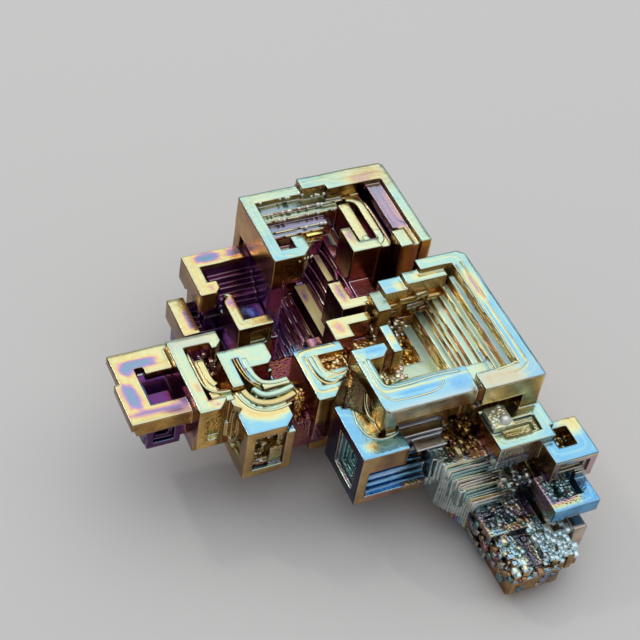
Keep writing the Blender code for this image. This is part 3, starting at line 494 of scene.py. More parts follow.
def paint_lower_right(s):
    # blue cube: painted shade in its bowl with a painted highlight streak, and painted shade on its left face
    s.zone((27.5, 34.0), (18.4, 26.8), (14.9, 15.1), (TOP,), film=BLUE + 0.02)
    s.patch((31.3, 23.2), (2.0, 2.6), 10, (14.9, 15.1), feather=0.2, film=MINT + 0.02, shade=0.9)
    s.patch((31.5, 23.6), (1.6, 2.1), 10, (14.9, 15.1), feather=0.35, film=YELLOW, shade=0.4)
    s.patch((30.6, 22.7), (0.45, 1.2), -25, (14.9, 15.1), feather=0.6, film=CREAM, shade=1.1)
    s.patch((29.4, 20.0), (0.9, 0.5), 0, (14.9, 15.1), feather=0.8, film=CREAM + 0.02)
    s.zone((27.5, 38.2), (18.4, 19.2), (7, 15.0), (FRONT,), film=COPPER - 0.03, shade=0.8, bare=0.15)
    s.zone((28.7, 36.9), (18.7, 22.2), (7, 12.4), ALL_ROUND, film=NAVY + 0.04, shade=1.0, grit=0.5)
    s.zone((27.5, 28.3), (18.4, 26.0), (7, 14.8), (LEFT,), film=NAVY, shade=0.25)
    s.zone((28.0, 29.4), (18.8, 25.6), (7, 14.8), ALL_ROUND, film=SEA, shade=0.9, grit=1.0)
    s.zone((33.5, 38.8), (18.4, 26.0), (10, 14.5), ALL_ROUND, film=SLATE, shade=0.8, bare=0.5)
    s.zone((31.3, 40.2), (21.8, 28.6), (14.6, 17.0), ALL_ROUND, film=GOLD + 0.03, shade=0.7)
    s.zone((33.5, 48.0), (17.0, 28.4), (3, 11.8), ALL_ROUND, film=GOLD + 0.02, shade=0.7, grit=1.0, bare=0.15)
    # knob crystal
    s.zone((42.5, 50.6), (15.0, 21.2), (14.9, 15.1), (TOP,), film=MINT + 0.03, grit=0.2)
    s.zone((48.6, 50.6), (15.0, 21.2), (14.9, 15.1), (TOP,), feather=1.0, film=SKY)
    s.zone((42.5, 50.6), (15.0, 16.0), (14.9, 15.1), (TOP,), feather=0.8, film=SKY - 0.03)
    s.zone((42.9, 45.8), (17.2, 20.6), (15.2, 16.4), ALL_ROUND, film=CREAM + 0.01, shade=1.3, grit=0.7, dull=0.4)
    s.zone((42.5, 50.6), (15.0, 15.8), (11, 14.9), (FRONT,), film=STRAW, shade=1.0, bare=0.4, grit=0.5)
    s.zone((43.9, 49.3), (16.2, 19.4), (11, 14.8), ALL_ROUND, film=CREAM, shade=0.8, grit=0.4)
    # corner cube
    s.zone((48.2, 54.2), (12.0, 17.9), (13.9, 14.1), (TOP,), film=BLUE + 0.03)
    s.patch((53.0, 17.0), (2.2, 1.4), 30, (13.9, 14.1), feather=0.7, film=CREAM + 0.02)
    s.zone((48.2, 54.2), (12.0, 13.0), (9, 13.9), (FRONT,), film=PINK + 0.01, shade=0.8, bare=0.2)
    s.zone((49.7, 52.4), (13.9, 16.9), (11, 13.8), ALL_ROUND, film=GOLD + 0.02, shade=0.6, grit=1.0)
    # teal crystals and ribbed wall
    s.zone((47.2, 53.5), (8.5, 14.1), (8.0, 10.3), ALL_ROUND, film=BLUE + 0.02, grit=0.3)
    s.zone((47.2, 51.0), (9.5, 14.1), (8.0, 10.3), ALL_ROUND, feather=1.0, film=SEA - 0.01, grit=1.0, bare=0.3)
    s.zone((36.5, 47.0), (13.5, 20.2), (5, 12.9), ALL_ROUND, film=SEA - 0.02, shade=1.0, grit=0.6, bare=0.45)
    s.zone((40.0, 46.0), (16.0, 20.2), (8, 12.9), ALL_ROUND, feather=2.0, film=STRAW + 0.02, shade=1.0, bare=0.4)
    s.zone((40.0, 50.4), (9.0, 16.0), (2, 6.4), ALL_ROUND, feather=2.0, film=SLATE + 0.02, shade=0.9, grit=1.0, bare=0.3)
    s.zone((41.2, 50.6), (4.7, 11.4), (3, 6.2), (TOP,), film=SKY - 0.03, shade=1.1, grit=1.0, bare=0.25)
    s.zone((43.5, 45.6), (5.5, 11.4), (3, 6.2), ALL_ROUND, feather=1.0, film=SLATE, shade=0.45, grit=1.0)
    s.zone((46.0, 50.6), (5.0, 9.4), (4, 6.2), (TOP,), feather=1.5, film=SKY + 0.01, shade=1.3, bare=0.35)
    s.zone((41.2, 50.6), (4.7, 11.4), (1, 4.8), SIDES, film=COPPER - 0.02, shade=0.7, grit=0.6)
    s.zone((48.0, 52.1), (7.5, 13.1), (2.8, 7.1), ALL_ROUND, film=PINK - 0.03, shade=0.8, bare=0.4)


class ObjectNodes:
    """Adds shader nodes to one material and joins them."""

    def __init__(self, name):
        self.material = bpy.data.materials.new(name)
        self.material.use_nodes = True
        self.tree = self.material.node_tree
        self.shader = self.tree.nodes["Principled BSDF"]
        self.count = 0

    def add(self, kind, *sources, **settings):
        node = self.tree.nodes.new(kind)
        self.count += 1
        node.location = (-220 * (self.count % 9) - 300, -180 * (self.count // 9))
        for key, value in settings.items():
            setattr(node, key, value)
        for socket, source in zip(node.inputs, sources):
            self.feed(socket, source)
        return node

    def feed(self, socket, source):
        if source is None:
            return
        if isinstance(source, bpy.types.NodeSocket):
            self.tree.links.new(source, socket)
        else:
            socket.default_value = source

    def sum(self, operation, a, b=None, c=None):
        return self.add("ShaderNodeMath", a, b, c, operation=operation).outputs[0]

    def read(self, attribute):
        return self.add("ShaderNodeAttribute", attribute_name=attribute).outputs["Fac"]

    def ramp(self, factor, stops, interpolation="LINEAR"):
        node = self.add("ShaderNodeValToRGB", factor)
        ramp = node.color_ramp
        ramp.interpolation = interpolation
        while len(ramp.elements) < len(stops):
            ramp.elements.new(0.5)
        for element, (position, colour) in zip(ramp.elements, stops):
            element.position = position
            element.color = (*colour, 1.0) if hasattr(colour, "__len__") else (colour, colour, colour, 1.0)
        return node.outputs["Color"]

    def noise(self, vector, scale, detail=2.0, roughness=0.5, distortion=0.0):
        node = self.add("ShaderNodeTexNoise")
        self.feed(node.inputs["Vector"], vector)
        node.inputs["Scale"].default_value = scale
        node.inputs["Detail"].default_value = detail
        node.inputs["Roughness"].default_value = roughness
        node.inputs["Distortion"].default_value = distortion
        return node.outputs["Fac"]


def film_material(name):
    """Oxidised metal: its colour is the thickness of the film, times a factor of painted light and shade, with a
    painted highlight along the rounded edges and a painted reflection on the steep faces, and the growth marks are
    relief.
    """
    colours = bpy.context.scene.bismuth_film
    stops = [
        (SILVER, colours.silver), (STRAW, colours.straw), (GOLD, colours.gold), (COPPER, colours.copper),
        (MAROON, colours.maroon), (PURPLE, colours.purple), (NAVY, colours.navy), (BLUE, colours.blue),
        (SKY, colours.sky), (MINT, colours.mint), (CREAM, colours.cream), (YELLOW, colours.yellow),
        (PINK, colours.pink), (LILAC, colours.lilac), (SLATE, colours.slate), (SEA, colours.sea),
    ]
    n = ObjectNodes(name)
    place = n.add("ShaderNodeTexCoord").outputs["Object"]
    mm = n.add("ShaderNodeVectorMath", place, operation="SCALE")
    mm.inputs["Scale"].default_value = 1.0 / MM
    mm = mm.outputs[0]

    broad = n.noise(mm, 0.22, 3.0, 0.55)
    fine = n.noise(mm, 1.7, 3.0, 0.6, 0.4)
    level = n.add("ShaderNodeMapping", mm)
    level.inputs["Scale"].default_value = (0.30, 0.30, 4.5)
    strata = n.noise(level.outputs[0], 1.0, 4.0, 0.6)
    grain = n.noise(mm, 5.5, 2.0, 0.6, 0.6)

    flow = n.read("flow")
    bend = n.sum("MULTIPLY", n.sum("SUBTRACT", n.noise(mm, 0.3, 1.0), 0.5), 0.5)
    flow = n.sum("ADD", flow, bend)
    bands = n.add("ShaderNodeMapRange", flow)
    bands.inputs["From Max"].default_value = 2.4
    lines = n.ramp(bands.outputs[0], [
        (0.0, 0.5), (0.07, 0.05), (0.30, 0.0), (0.38, 0.9), (0.46, 1.0), (0.52, 0.1),
        (0.72, 0.0), (0.80, 0.5), (0.86, 0.0)])
    lined = n.sum("MULTIPLY", lines, n.read("lines"))

    upright = n.sum("MULTIPLY", n.sum("SUBTRACT", strata, 0.5), 0.07)
    film = n.sum("ADD", n.read("film"), n.sum("MULTIPLY", n.sum("SUBTRACT", broad, 0.5), 0.10))
    film = n.sum("ADD", film, n.sum("MULTIPLY", n.sum("SUBTRACT", fine, 0.5), 0.05))
    film = n.sum("ADD", film, n.sum("MULTIPLY", upright, n.read("steep")))
    film = n.sum("ADD", film, n.sum("MULTIPLY", lined, 0.15))
    film = n.sum("ADD", film, n.sum("MULTIPLY", n.sum("MULTIPLY", n.sum("SUBTRACT", grain, 0.5), 0.35), n.read("grit")))
    colour = n.ramp(film, stops)
    mixed = n.add("ShaderNodeMix", data_type="RGBA")
    # The rounded edges are mixed towards silver as a painted highlight, added to the bare metal of each place.
    n.feed(mixed.inputs[0], n.sum("MULTIPLY_ADD", n.read("edge"), 0.28, n.read("bare")))
    n.feed(mixed.inputs[6], colour)
    mixed.inputs[7].default_value = (*colours.silver, 1.0)
    # The film colour is scaled by the factor of painted light and shade.
    shaded = n.add("ShaderNodeVectorMath", mixed.outputs[2], operation="SCALE")
    # Steep faces get broad blotches of light and dark: a painted reflection.
    reflection_noise = n.add("ShaderNodeMapRange", n.noise(mm, 0.3, 2.0, 0.5))
    reflection_noise.inputs["From Min"].default_value = 0.3
    reflection_noise.inputs["From Max"].default_value = 0.7
    reflection_noise.inputs["To Min"].default_value = -0.4
    reflection_noise.inputs["To Max"].default_value = 0.4
    painted_reflection = n.sum("MULTIPLY_ADD", reflection_noise.outputs[0], n.read("steep"), 1.0)
    n.feed(shaded.inputs["Scale"], n.sum("MULTIPLY", n.read("shade"), painted_reflection))
    n.feed(n.shader.inputs["Base Color"], shaded.outputs[0])

    rough = n.add("ShaderNodeMapRange", fine)
    rough.inputs["To Min"].default_value = 0.12
    rough.inputs["To Max"].default_value = 0.30
    n.feed(n.shader.inputs["Roughness"], n.sum("MULTIPLY_ADD", n.read("dull"), 0.25, rough.outputs[0]))
    n.feed(n.shader.inputs["Metallic"], n.sum("MULTIPLY_ADD", n.read("dull"), -0.55, 1.0))

    grains = n.add("ShaderNodeTexVoronoi", feature="F1")
    n.feed(grains.inputs["Vector"], mm)
    grains.inputs["Scale"].default_value = 3.2
    height = n.sum("MULTIPLY", grains.outputs["Distance"], n.read("grit"))
    height = n.sum("ADD", height, n.sum("MULTIPLY", lined, 0.4))
    height = n.sum("ADD", height, n.sum("MULTIPLY", n.sum("MULTIPLY", strata, 0.4), n.read("steep")))
    height = n.sum("ADD", height, n.sum("MULTIPLY", fine, 0.3))
    bump = n.add("ShaderNodeBump")
    bump.inputs["Strength"].default_value = 0.6
    bump.inputs["Distance"].default_value = 0.12 * MM
    n.feed(bump.inputs["Height"], height)
    n.feed(n.shader.inputs["Normal"], bump.outputs[0])
    return n.material


# ---------------------------------------------------------------- the grown metal

# The plan box of each crystal, and the middle of its hollow.
HOPPERS = (
    ((27.0, 47.5), (41.5, 57.0), (37.5, 49.5)),
    ((31.0, 50.5), (19.5, 40.8), (41.0, 31.0)),
    ((26.0, 32.0), (27.0, 34.7), (31.8, 32.0)),
    ((31.5, 34.2), (34.6, 38.0), (35.0, 36.0)),
    ((34.2, 38.1), (38.5, 43.5), (37.0, 41.5)),
    ((5.8, 13.0), (30.8, 41.4), (12.0, 35.5)),
    ((13.0, 19.2), (29.0, 40.3), (16.5, 35.0)),
    ((17.7, 24.6), (30.0, 37.2), (22.5, 32.7)),
    ((17.0, 23.1), (25.2, 31.8), (21.0, 31.5)),
    ((20.0, 28.5), (47.2, 54.2), (25.0, 50.4)),
    ((22.8, 27.6), (41.6, 47.9), (26.0, 45.5)),
    ((27.6, 38.1), (18.4, 26.7), (32.0, 25.0)),
    ((42.7, 50.6), (15.0, 21.1), (46.5, 18.0)),
    ((48.2, 54.1), (12.0, 17.9), (51.0, 15.3)),
    ((47.2, 53.5), (8.5, 14.1), (50.2, 11.5)),
)


def hollow_rims(shape):
    """Every upper edge that looks onto its own crystal's hollow, as x1, y1, x2, y2, z on the plan grid."""
    rims = []
    for edge in shape.edges:
        if len(edge.link_faces) != 2 or not edge.is_convex:
            continue
        level = [f for f in edge.link_faces if f.normal.z > 0.9]
        steep = [f for f in edge.link_faces if abs(f.normal.z) < 0.1]
        if len(level) != 1 or len(steep) != 1:
            continue
        a, b = (v.co / MM + GRID for v in edge.verts)
        middle = (a + b) / 2
        for (x_low, x_high), (y_low, y_high), centre in HOPPERS:
            if x_low < middle.x < x_high and y_low < middle.y < y_high:
                inward = Vector((centre[0] - middle.x, centre[1] - middle.y, 0.0))
                if inward.dot(steep[0].normal) > 0.0:
                    rims.append((a.x, a.y, b.x, b.y, middle.z))
                break
    return rims


def copy_of_cad():
    """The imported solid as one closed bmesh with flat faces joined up."""
    shape = bmesh.new()
    shape.from_mesh(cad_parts[CAD_NODE].data)
    bmesh.ops.remove_doubles(shape, verts=shape.verts, dist=1e-6)
    bmesh.ops.dissolve_limit(shape, angle_limit=math.radians(0.5), verts=shape.verts, edges=shape.edges)
    return shape


def grid_cut(shape, cell):
    """Cuts every face along an even grid, so that it can carry the film and the waviness."""
    low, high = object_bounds()
    for axis in range(3):
        normal = Vector((0.0, 0.0, 0.0))
        normal[axis] = 1.0
        place = low[axis] + cell * 0.61
        while place < high[axis]:
            point = Vector((0.0, 0.0, 0.0))
            point[axis] = place
            geometry = shape.verts[:] + shape.edges[:] + shape.faces[:]
            bmesh.ops.bisect_plane(shape, geom=geometry, dist=1e-8, plane_co=point, plane_no=normal)
            place += cell


class BISMUTH_OT_grown_metal(bpy.types.Operator):
    """Rounds the edges of the grown solid and gives it its film"""
    bl_idname = "bismuth.grown_metal"
    bl_label = "Grown metal"

    def execute(self, context):
        sizes = context.scene.bismuth_sizes
        shape = copy_of_cad()
        rims = hollow_rims(shape)
        sharp = [e for e in shape.edges if len(e.link_faces) == 2 and e.calc_face_angle() > math.radians(20)]
        bmesh.ops.bevel(shape, geom=sharp, offset=sizes.edge_round, offset_type="OFFSET", segments=2,
                        profile=0.5, affect="EDGES", clamp_overlap=False, material=-1)
        grid_cut(shape, sizes.cell)
        for vertex in shape.verts:
            p = vertex.co / MM
            vertex.co += (noise.noise_vector(p * 0.28) + noise.noise_vector(p * 0.9) * 0.4) * sizes.waviness
            vertex.co.z = max(vertex.co.z, 0.0)
        piece = finish_piece("grown_metal", shape, bpy.data.materials["iridescent film"])
        samples = FilmSamples(piece.data)
        samples.measure_flow(rims)
        paint_film(samples)
        samples.store(piece.data)
        return {"FINISHED"}


# ---------------------------------------------------------------- small growths

def flowing(points, steps=5):
    """A smooth path through the points, which are pairs on the plan grid."""
    points = [Vector(p) for p in points]
    if len(points) == 2:
        return points
    path = []
    for index in range(len(points) - 1):
        before = points[max(index - 1, 0)]
        a, b = points[index], points[index + 1]
        after = points[min(index + 2, len(points) - 1)]
        handle_a, handle_b = a + (b - before) / 6, b - (after - a) / 6
        part = geometry.interpolate_bezier(a, handle_a, handle_b, b, steps + 1)
        path.extend(part[:-1])
    path.append(points[-1])
    return [Vector((p[0], p[1])) for p in path]


class Growths:
    """Small grown shapes that are gathered into one piece, each with its own film if it has one."""

    def __init__(self, seed):
        self.shape = bmesh.new()
        layers = self.shape.faces.layers.float
        self.layers = {name: layers.new("own_" + name) for name in OWN}
        self.chance = random.Random(seed)

    # The brightness factor is painted shade below one and a painted highlight above one.
    def mark(self, faces, film=None, shade=1.0, bare=0.0, dull=0.0):
        values = {"film": -1.0 if film is None else film, "shade": shade, "bare": bare, "dull": dull}
        for face in faces:
            for name, value in values.items():
                face[self.layers[name]] = value

    def slab(self, x, y, z, turn=0.0, tilt=0.0, bevel=0.04, **finish):
        """A bar over three ranges of the plan grid, turned about Z and tilted about X, in degrees."""
        middle = at(sum(x) / 2, sum(y) / 2, sum(z) / 2)
        size = Matrix.Diagonal(((x[1] - x[0]) * MM, (y[1] - y[0]) * MM, (z[1] - z[0]) * MM, 1.0))
        turned = Euler((math.radians(tilt), 0.0, math.radians(turn))).to_matrix().to_4x4()
        made = bmesh.ops.create_cube(self.shape, size=1.0, matrix=Matrix.Translation(middle) @ turned @ size)
        faces = {face for vertex in made["verts"] for face in vertex.link_faces}
        self.mark(faces, **finish)
        edges = {edge for face in faces for edge in face.edges}
        bmesh.ops.bevel(self.shape, geom=list(edges), offset=bevel * MM, segments=1, profile=0.5,
                        affect="EDGES", clamp_overlap=True, material=-1)

    def ridge(self, points, width, top, depth, soft=0.3, **finish):
        """A raised line of metal along a flowing path: its level top is at the given height."""
        path = flowing(points)
        edge = None
        ribbon = []
        for index, place in enumerate(path):
            ahead = path[min(index + 1, len(path) - 1)] - path[max(index - 1, 0)]
            across = Vector((-ahead.y, ahead.x)).normalized() * width / 2
            ends = [at(place.x + across.x, place.y + across.y, top - depth),
                    at(place.x - across.x, place.y - across.y, top - depth)]
            if edge is None:
                edge = self.shape.edges.new([self.shape.verts.new(end) for end in ends])
                continue
            before = edge.verts[:]
            made = bmesh.ops.extrude_edge_only(self.shape, edges=[edge])["geom"]
            ribbon.extend(item for item in made if isinstance(item, bmesh.types.BMFace))
            edge = next(item for item in made if isinstance(item, bmesh.types.BMEdge)
                        and not set(item.verts) & set(before))
            for vertex in edge.verts:
                partner = next(v for v in before if self.joined(v, vertex))
                vertex.co = ends[before.index(partner)]
        region = bmesh.ops.extrude_face_region(self.shape, geom=ribbon, use_keep_orig=True)["geom"]
        lifted = [item for item in region if isinstance(item, bmesh.types.BMVert)]
        bmesh.ops.translate(self.shape, vec=(0.0, 0.0, depth * MM), verts=lifted)
        faces = {face for vertex in lifted for face in vertex.link_faces} | set(ribbon)
        bmesh.ops.recalc_face_normals(self.shape, faces=list(faces))
        self.mark(faces, **finish)
        rim = {edge for vertex in lifted for edge in vertex.link_edges
               if len(edge.link_faces) == 2 and edge.calc_face_angle() > math.radians(50)}
        bmesh.ops.bevel(self.shape, geom=list(rim), offset=width * soft * MM, segments=2, profile=0.5,
                        affect="EDGES", clamp_overlap=True, material=-1)

    @staticmethod
    def joined(a, b):
        return any(edge.other_vert(a) is b for edge in a.link_edges)

    def bead(self, x, y, z, radius, **finish):
        made = bmesh.ops.create_icosphere(self.shape, subdivisions=2, radius=radius * MM,
                                          matrix=Matrix.Translation(at(x, y, z)))
        self.mark({face for vertex in made["verts"] for face in vertex.link_faces}, **finish)

    def grains(self, count, x, y, z, size, lean=14.0, **finish):
        """Crumbs of cubic crystals, scattered through a box of the plan grid."""
        films = finish.pop("films", (None,))
        for _ in range(count):
            side = self.chance.uniform(*size)
            c = [self.chance.uniform(*span) for span in (x, y, z)]
            tall = side * self.chance.uniform(0.7, 1.5)
            long = side * self.chance.uniform(0.8, 1.8)
            self.slab((c[0] - side / 2, c[0] + side / 2), (c[1] - long / 2, c[1] + long / 2),
                      (c[2] - tall / 2, c[2] + tall / 2), turn=self.chance.uniform(-lean, lean),
                      tilt=self.chance.uniform(-lean, lean), bevel=side * 0.06,
                      film=self.chance.choice(films), **finish)

    def streaks(self, x, y, z, rows, films, width=0.14, proud=0.08, gap=0.25, **finish):
        """Broken threads of metal along Y on an upright face at x, at several heights."""
        for row in range(rows):
            height = z[0] + (z[1] - z[0]) * (row + 0.5) / rows
            place = y[0] + self.chance.uniform(0.0, 1.5)
            while place < y[1] - 1.0:
                length = self.chance.uniform(1.2, 5.5)
                lift = self.chance.uniform(-0.08, 0.08)
                self.slab((x - proud, x + 0.2), (place, min(place + length, y[1])),
                          (height + lift - width / 2, height + lift + width / 2), bevel=0.03,
                          film=self.chance.choice(films), **finish)
                place += length + self.chance.uniform(0.05, gap)

    def piece(self, name):
        piece = finish_piece(name, self.shape, bpy.data.materials["iridescent film"])
        samples = FilmSamples(piece.data)
        paint_film(samples)
        samples.own(piece.data)
        samples.store(piece.data)
        return piece


class BISMUTH_OT_flow_ridges(bpy.types.Operator):
    """Lays the curved ridges that the metal left as it drained off the crystals"""
    bl_idname = "bismuth.flow_ridges"
    bl_label = "Flow ridges"

    def execute(self, context):
        g = Growths(11)
        # Ridges with a brightness below one are painted shade along grooves; those above one are painted highlight.
        # tall crystal: bars that turn the corner at the front of its hollow
        g.ridge(((14.85, 38.0), (14.85, 34.0), (15.2, 32.5), (16.2, 31.75), (17.5, 31.6)), 0.26, 15.75, 1.6, film=CREAM)
        g.ridge(((15.2, 37.6), (15.2, 34.4), (15.5, 33.1), (16.3, 32.3), (17.4, 32.1)), 0.16, 15.45, 1.4, film=COPPER, shade=0.7)
        g.ridge(((15.85, 36.7), (15.85, 34.4), (16.0, 33.5), (16.3, 32.9)), 0.72, 15.65, 1.5, soft=0.2, film=YELLOW - 0.04)
        # comb crystal: slot with a thin bar in it, and the arms that sweep forward
        g.ridge(((19.35, 36.1), (19.45, 33.6), (19.9, 31.9), (20.6, 31.0)), 0.14, 15.95, 1.2, film=GOLD, shade=0.9)
        g.ridge(((19.75, 35.8), (19.85, 33.6), (20.25, 32.1), (20.9, 31.3)), 0.16, 15.85, 1.2, film=CREAM)
        g.ridge(((20.5, 35.4), (20.55, 33.4), (20.9, 32.0), (21.5, 31.4), (22.6, 31.15), (24.1, 31.2)), 0.62, 16.0, 1.6, soft=0.2, film=MINT + 0.02)
        g.ridge(((20.0, 31.3), (20.5, 30.3), (21.4, 29.9), (22.8, 29.95), (24.4, 30.3)), 0.75, 15.75, 1.8, soft=0.25, film=MINT)
        g.ridge(((18.9, 31.5), (19.2, 30.4), (20.0, 29.4), (21.3, 28.95), (22.8, 29.05), (24.3, 29.5)), 0.8, 15.5, 1.8, film=YELLOW - 0.02, shade=0.9)
        g.ridge(((18.55, 31.7), (18.75, 30.4), (19.6, 29.05), (21.0, 28.45), (22.6, 28.5), (24.0, 28.8)), 0.28, 15.2, 1.8, film=COPPER + 0.01, shade=0.5)
        # front cube: the edge of its top along the sweeping groove
        g.ridge(((18.1, 31.5), (18.3, 30.2), (19.2, 28.65), (20.8, 27.95), (22.4, 28.0), (23.4, 28.3)), 0.34, 15.4, 1.0, film=CREAM)
        # spiral crystal: two sweeping bars
        g.ridge(((27.0, 33.5), (27.1, 31.2), (27.5, 29.6), (28.5, 28.9), (29.6, 29.3)), 0.3, 16.06, 1.0, film=YELLOW - 0.01)
        g.ridge(((27.65, 33.4), (27.7, 31.2), (28.1, 30.0), (29.0, 29.3), (30.3, 29.7)), 0.55, 16.0, 1.2, soft=0.2, film=MINT - 0.02)
        g.ridge(((28.3, 33.3), (28.35, 31.6), (28.8, 30.6), (29.8, 30.1), (31.2, 30.5)), 0.3, 16.05, 1.2, film=YELLOW - 0.02)
        # rear hopper: outer bar that turns the corner behind the strips, and the groove beside it
        g.ridge(((42.85, 44.6), (42.9, 49.5), (42.7, 51.8), (41.8, 53.1), (40.2, 53.6), (38.6, 53.6)), 0.55, 18.95, 5.0, film=COPPER - 0.04, shade=0.9, bare=0.35)
        g.ridge(((41.95, 46.0), (41.95, 51.0), (41.6, 52.4), (40.6, 53.0)), 1.0, 19.25, 3.0, soft=0.2, film=CREAM + 0.01)
        g.ridge(((41.95, 47.0), (41.9, 45.6), (41.2, 44.9), (40.4, 45.3), (40.0, 46.4)), 0.9, 19.28, 2.5, soft=0.25, film=MINT + 0.04)
        g.ridge(((40.95, 46.2), (40.95, 52.0)), 0.75, 17.6, 3.0, film=MAROON, shade=0.9)
        # basin: soft folds beside the blades
        g.ridge(((35.3, 43.5), (35.3, 48.0), (35.1, 50.6)), 0.62, 10.75, 1.2, soft=0.45, film=MAROON + 0.03, shade=1.5, bare=0.4)
        g.ridge(((35.75, 43.5), (35.75, 48.5), (35.5, 51.0)), 0.5, 12.0, 1.6, soft=0.45, film=MAROON + 0.02, shade=1.3, bare=0.35)
        g.ridge(((36.0, 51.2), (36.8, 51.0), (37.3, 50.3), (37.45, 48.5), (37.45, 47.0), (37.1, 45.6)), 0.4, 13.5, 2.0, soft=0.45, film=MAROON + 0.03, shade=1.2, bare=0.3)
        # right hopper: low terrace lines along its front and left rims
        g.ridge(((32.35, 29.0), (32.3, 25.6), (33.0, 24.5), (35.0, 24.3), (38.5, 24.5), (41.6, 24.3)), 0.42, 18.78, 0.8, film=MINT)
        g.ridge(((31.75, 28.8), (31.75, 24.4), (32.4, 22.8), (34.0, 22.45), (37.4, 22.5), (38.6, 23.0), (39.2, 23.6)), 0.3, 18.75, 0.6, soft=0.45, film=MINT + 0.04, shade=1.1, bare=0.2)
        g.ridge(((47.95, 38.2), (47.95, 24.0), (47.3, 22.6), (45.0, 22.25)), 0.22, 20.06, 0.6, film=CREAM)
        g.ridge(((48.7, 38.6), (48.75, 24.0), (48.3, 22.0), (46.6, 21.3)), 0.16, 20.06, 0.6, film=CREAM + 0.03)
        # blue cube: the rim of its bowl, and smooth tongues that hang over its top
        g.ridge(((29.5, 25.4), (29.2, 23.4), (29.6, 21.6), (30.9, 20.7), (32.6, 20.9), (33.2, 21.4)), 0.3, 15.12, 0.6, soft=0.45, film=MINT, shade=1.1, bare=0.2)
        g.ridge(((32.0, 27.2), (31.2, 25.6), (30.9, 24.0), (31.4, 22.9), (32.4, 22.4)), 0.5, 15.25, 1.2, soft=0.45, film=CREAM + 0.02, shade=0.9)
        g.ridge(((32.8, 26.6), (32.1, 25.2), (32.1, 24.0), (32.9, 23.2)), 0.9, 15.3, 1.2, soft=0.45, film=GOLD + 0.03, shade=0.45)
        g.piece("flow_ridges")
        return {"FINISHED"}


class BISMUTH_OT_threads(bpy.types.Operator):
    """Draws the broken threads of metal along the risers of the stairs"""
    bl_idname = "bismuth.threads"
    bl_label = "Threads"

    def execute(self, context):
        g = Growths(23)
        golds = (GOLD, GOLD - 0.03, STRAW + 0.02, GOLD, GOLD + 0.03, COPPER - 0.01, MAROON - 0.03, YELLOW)
        risers = ((47.7, 18.6, 20.0), (47.1, 17.4, 18.6), (46.4, 16.7, 17.4), (45.75, 16.1, 16.7), (44.95, 15.4, 16.1),
                  (44.6, 14.7, 15.4), (44.3, 14.0, 14.7), (43.3, 11.8, 14.0), (42.1, 9.4, 11.8))
        # The threads are brightened well past their film: painted highlight.
        for x, low, high in risers:
            rows = max(1, round((high - low) / 0.4))
            g.streaks(x, (23.0, 37.6), (low, high), rows, golds, shade=1.6)
        reds = (MAROON - 0.02, MAROON, PURPLE - 0.03, LILAC - 0.03, PINK, COPPER + 0.02)
        for rib in range(RIB_LINES):
            g.streaks(33.05 - 0.5 * rib, (38.9 + 0.13 * rib, 52.2), (7.6 - 0.45 * rib, 7.95 - 0.45 * rib), 1, reds, shade=1.4, bare=0.4)
        for x, low, high in ((39.2 - 1.7, 12.2, 14.6), (37.8 - 1.7, 10.4, 12.2)):
            g.streaks(x, (40.8, 52.4), (low, high), 2, reds, shade=1.4, bare=0.4)
        ledges = ((52.95, 40.2, 19.2), (52.1, 39.4, 18.8), (50.9, 37.5, 18.1), (50.4, 36.9, 17.7), (49.9, 35.6, 16.0))
        for front, right, top in ledges:
            place = 29.4
            while place < right - 0.5:
                length = g.chance.uniform(0.8, 3.0)
                g.slab((place, min(place + length, right)), (front - 0.09, front + 0.2),
                       (top - g.chance.uniform(0.25, 0.4), top - 0.06), bevel=0.04,
                       film=g.chance.choice((GOLD, STRAW, CREAM + 0.03, MAROON - 0.04)), shade=1.2, bare=0.15)
                place += length + g.chance.uniform(0.05, 0.4)
        g.piece("threads")
        return {"FINISHED"}


class BISMUTH_OT_beads(bpy.types.Operator):
    """Sets the drops of metal that froze along the inner edges of the rear hopper"""
    bl_idname = "bismuth.beads"
    bl_label = "Beads"

    def execute(self, context):
        g = Growths(37)
        # The drops are brightened and mixed towards silver as a painted glint.
        rows = ((29.4, 35.5, 54.35, 19.95, 9), (35.6, 38.2, 53.7, 20.0, 5), (29.5, 40.0, 52.9, 19.15, 12), (29.5, 39.2, 52.05, 18.72, 10), (33.0, 37.3, 50.85, 18.0, 7))
        for left, right, y, z, count in rows:
            for _ in range(count):
                g.bead(g.chance.uniform(left, right), y + g.chance.uniform(-0.08, 0.08), z, g.chance.uniform(0.14, 0.28),
                       film=g.chance.choice((CREAM, STRAW, MINT, SKY)), shade=1.7, bare=0.8, dull=0.6)
        for x in (31.0, 31.6, 32.0, 32.5, 32.8):
            g.bead(x, 44.75 + 0.8 * max(0.0, x - 32.2), 19.5 - 0.5 * abs(x - 31.8), 0.16, film=CREAM, bare=0.5, shade=1.3)
        for _ in range(26):
            g.bead(g.chance.uniform(43.0, 45.4), g.chance.uniform(17.5, 20.2), g.chance.uniform(15.7, 16.0), g.chance.uniform(0.15, 0.4),
                   film=g.chance.choice((CREAM, STRAW, MINT)), shade=1.5, bare=0.4, dull=0.4)
        g.bead(44.6, 18.2, 16.0, 0.75, film=MINT, shade=1.6, bare=0.6, dull=0.5)
        g.piece("beads")
        return {"FINISHED"}


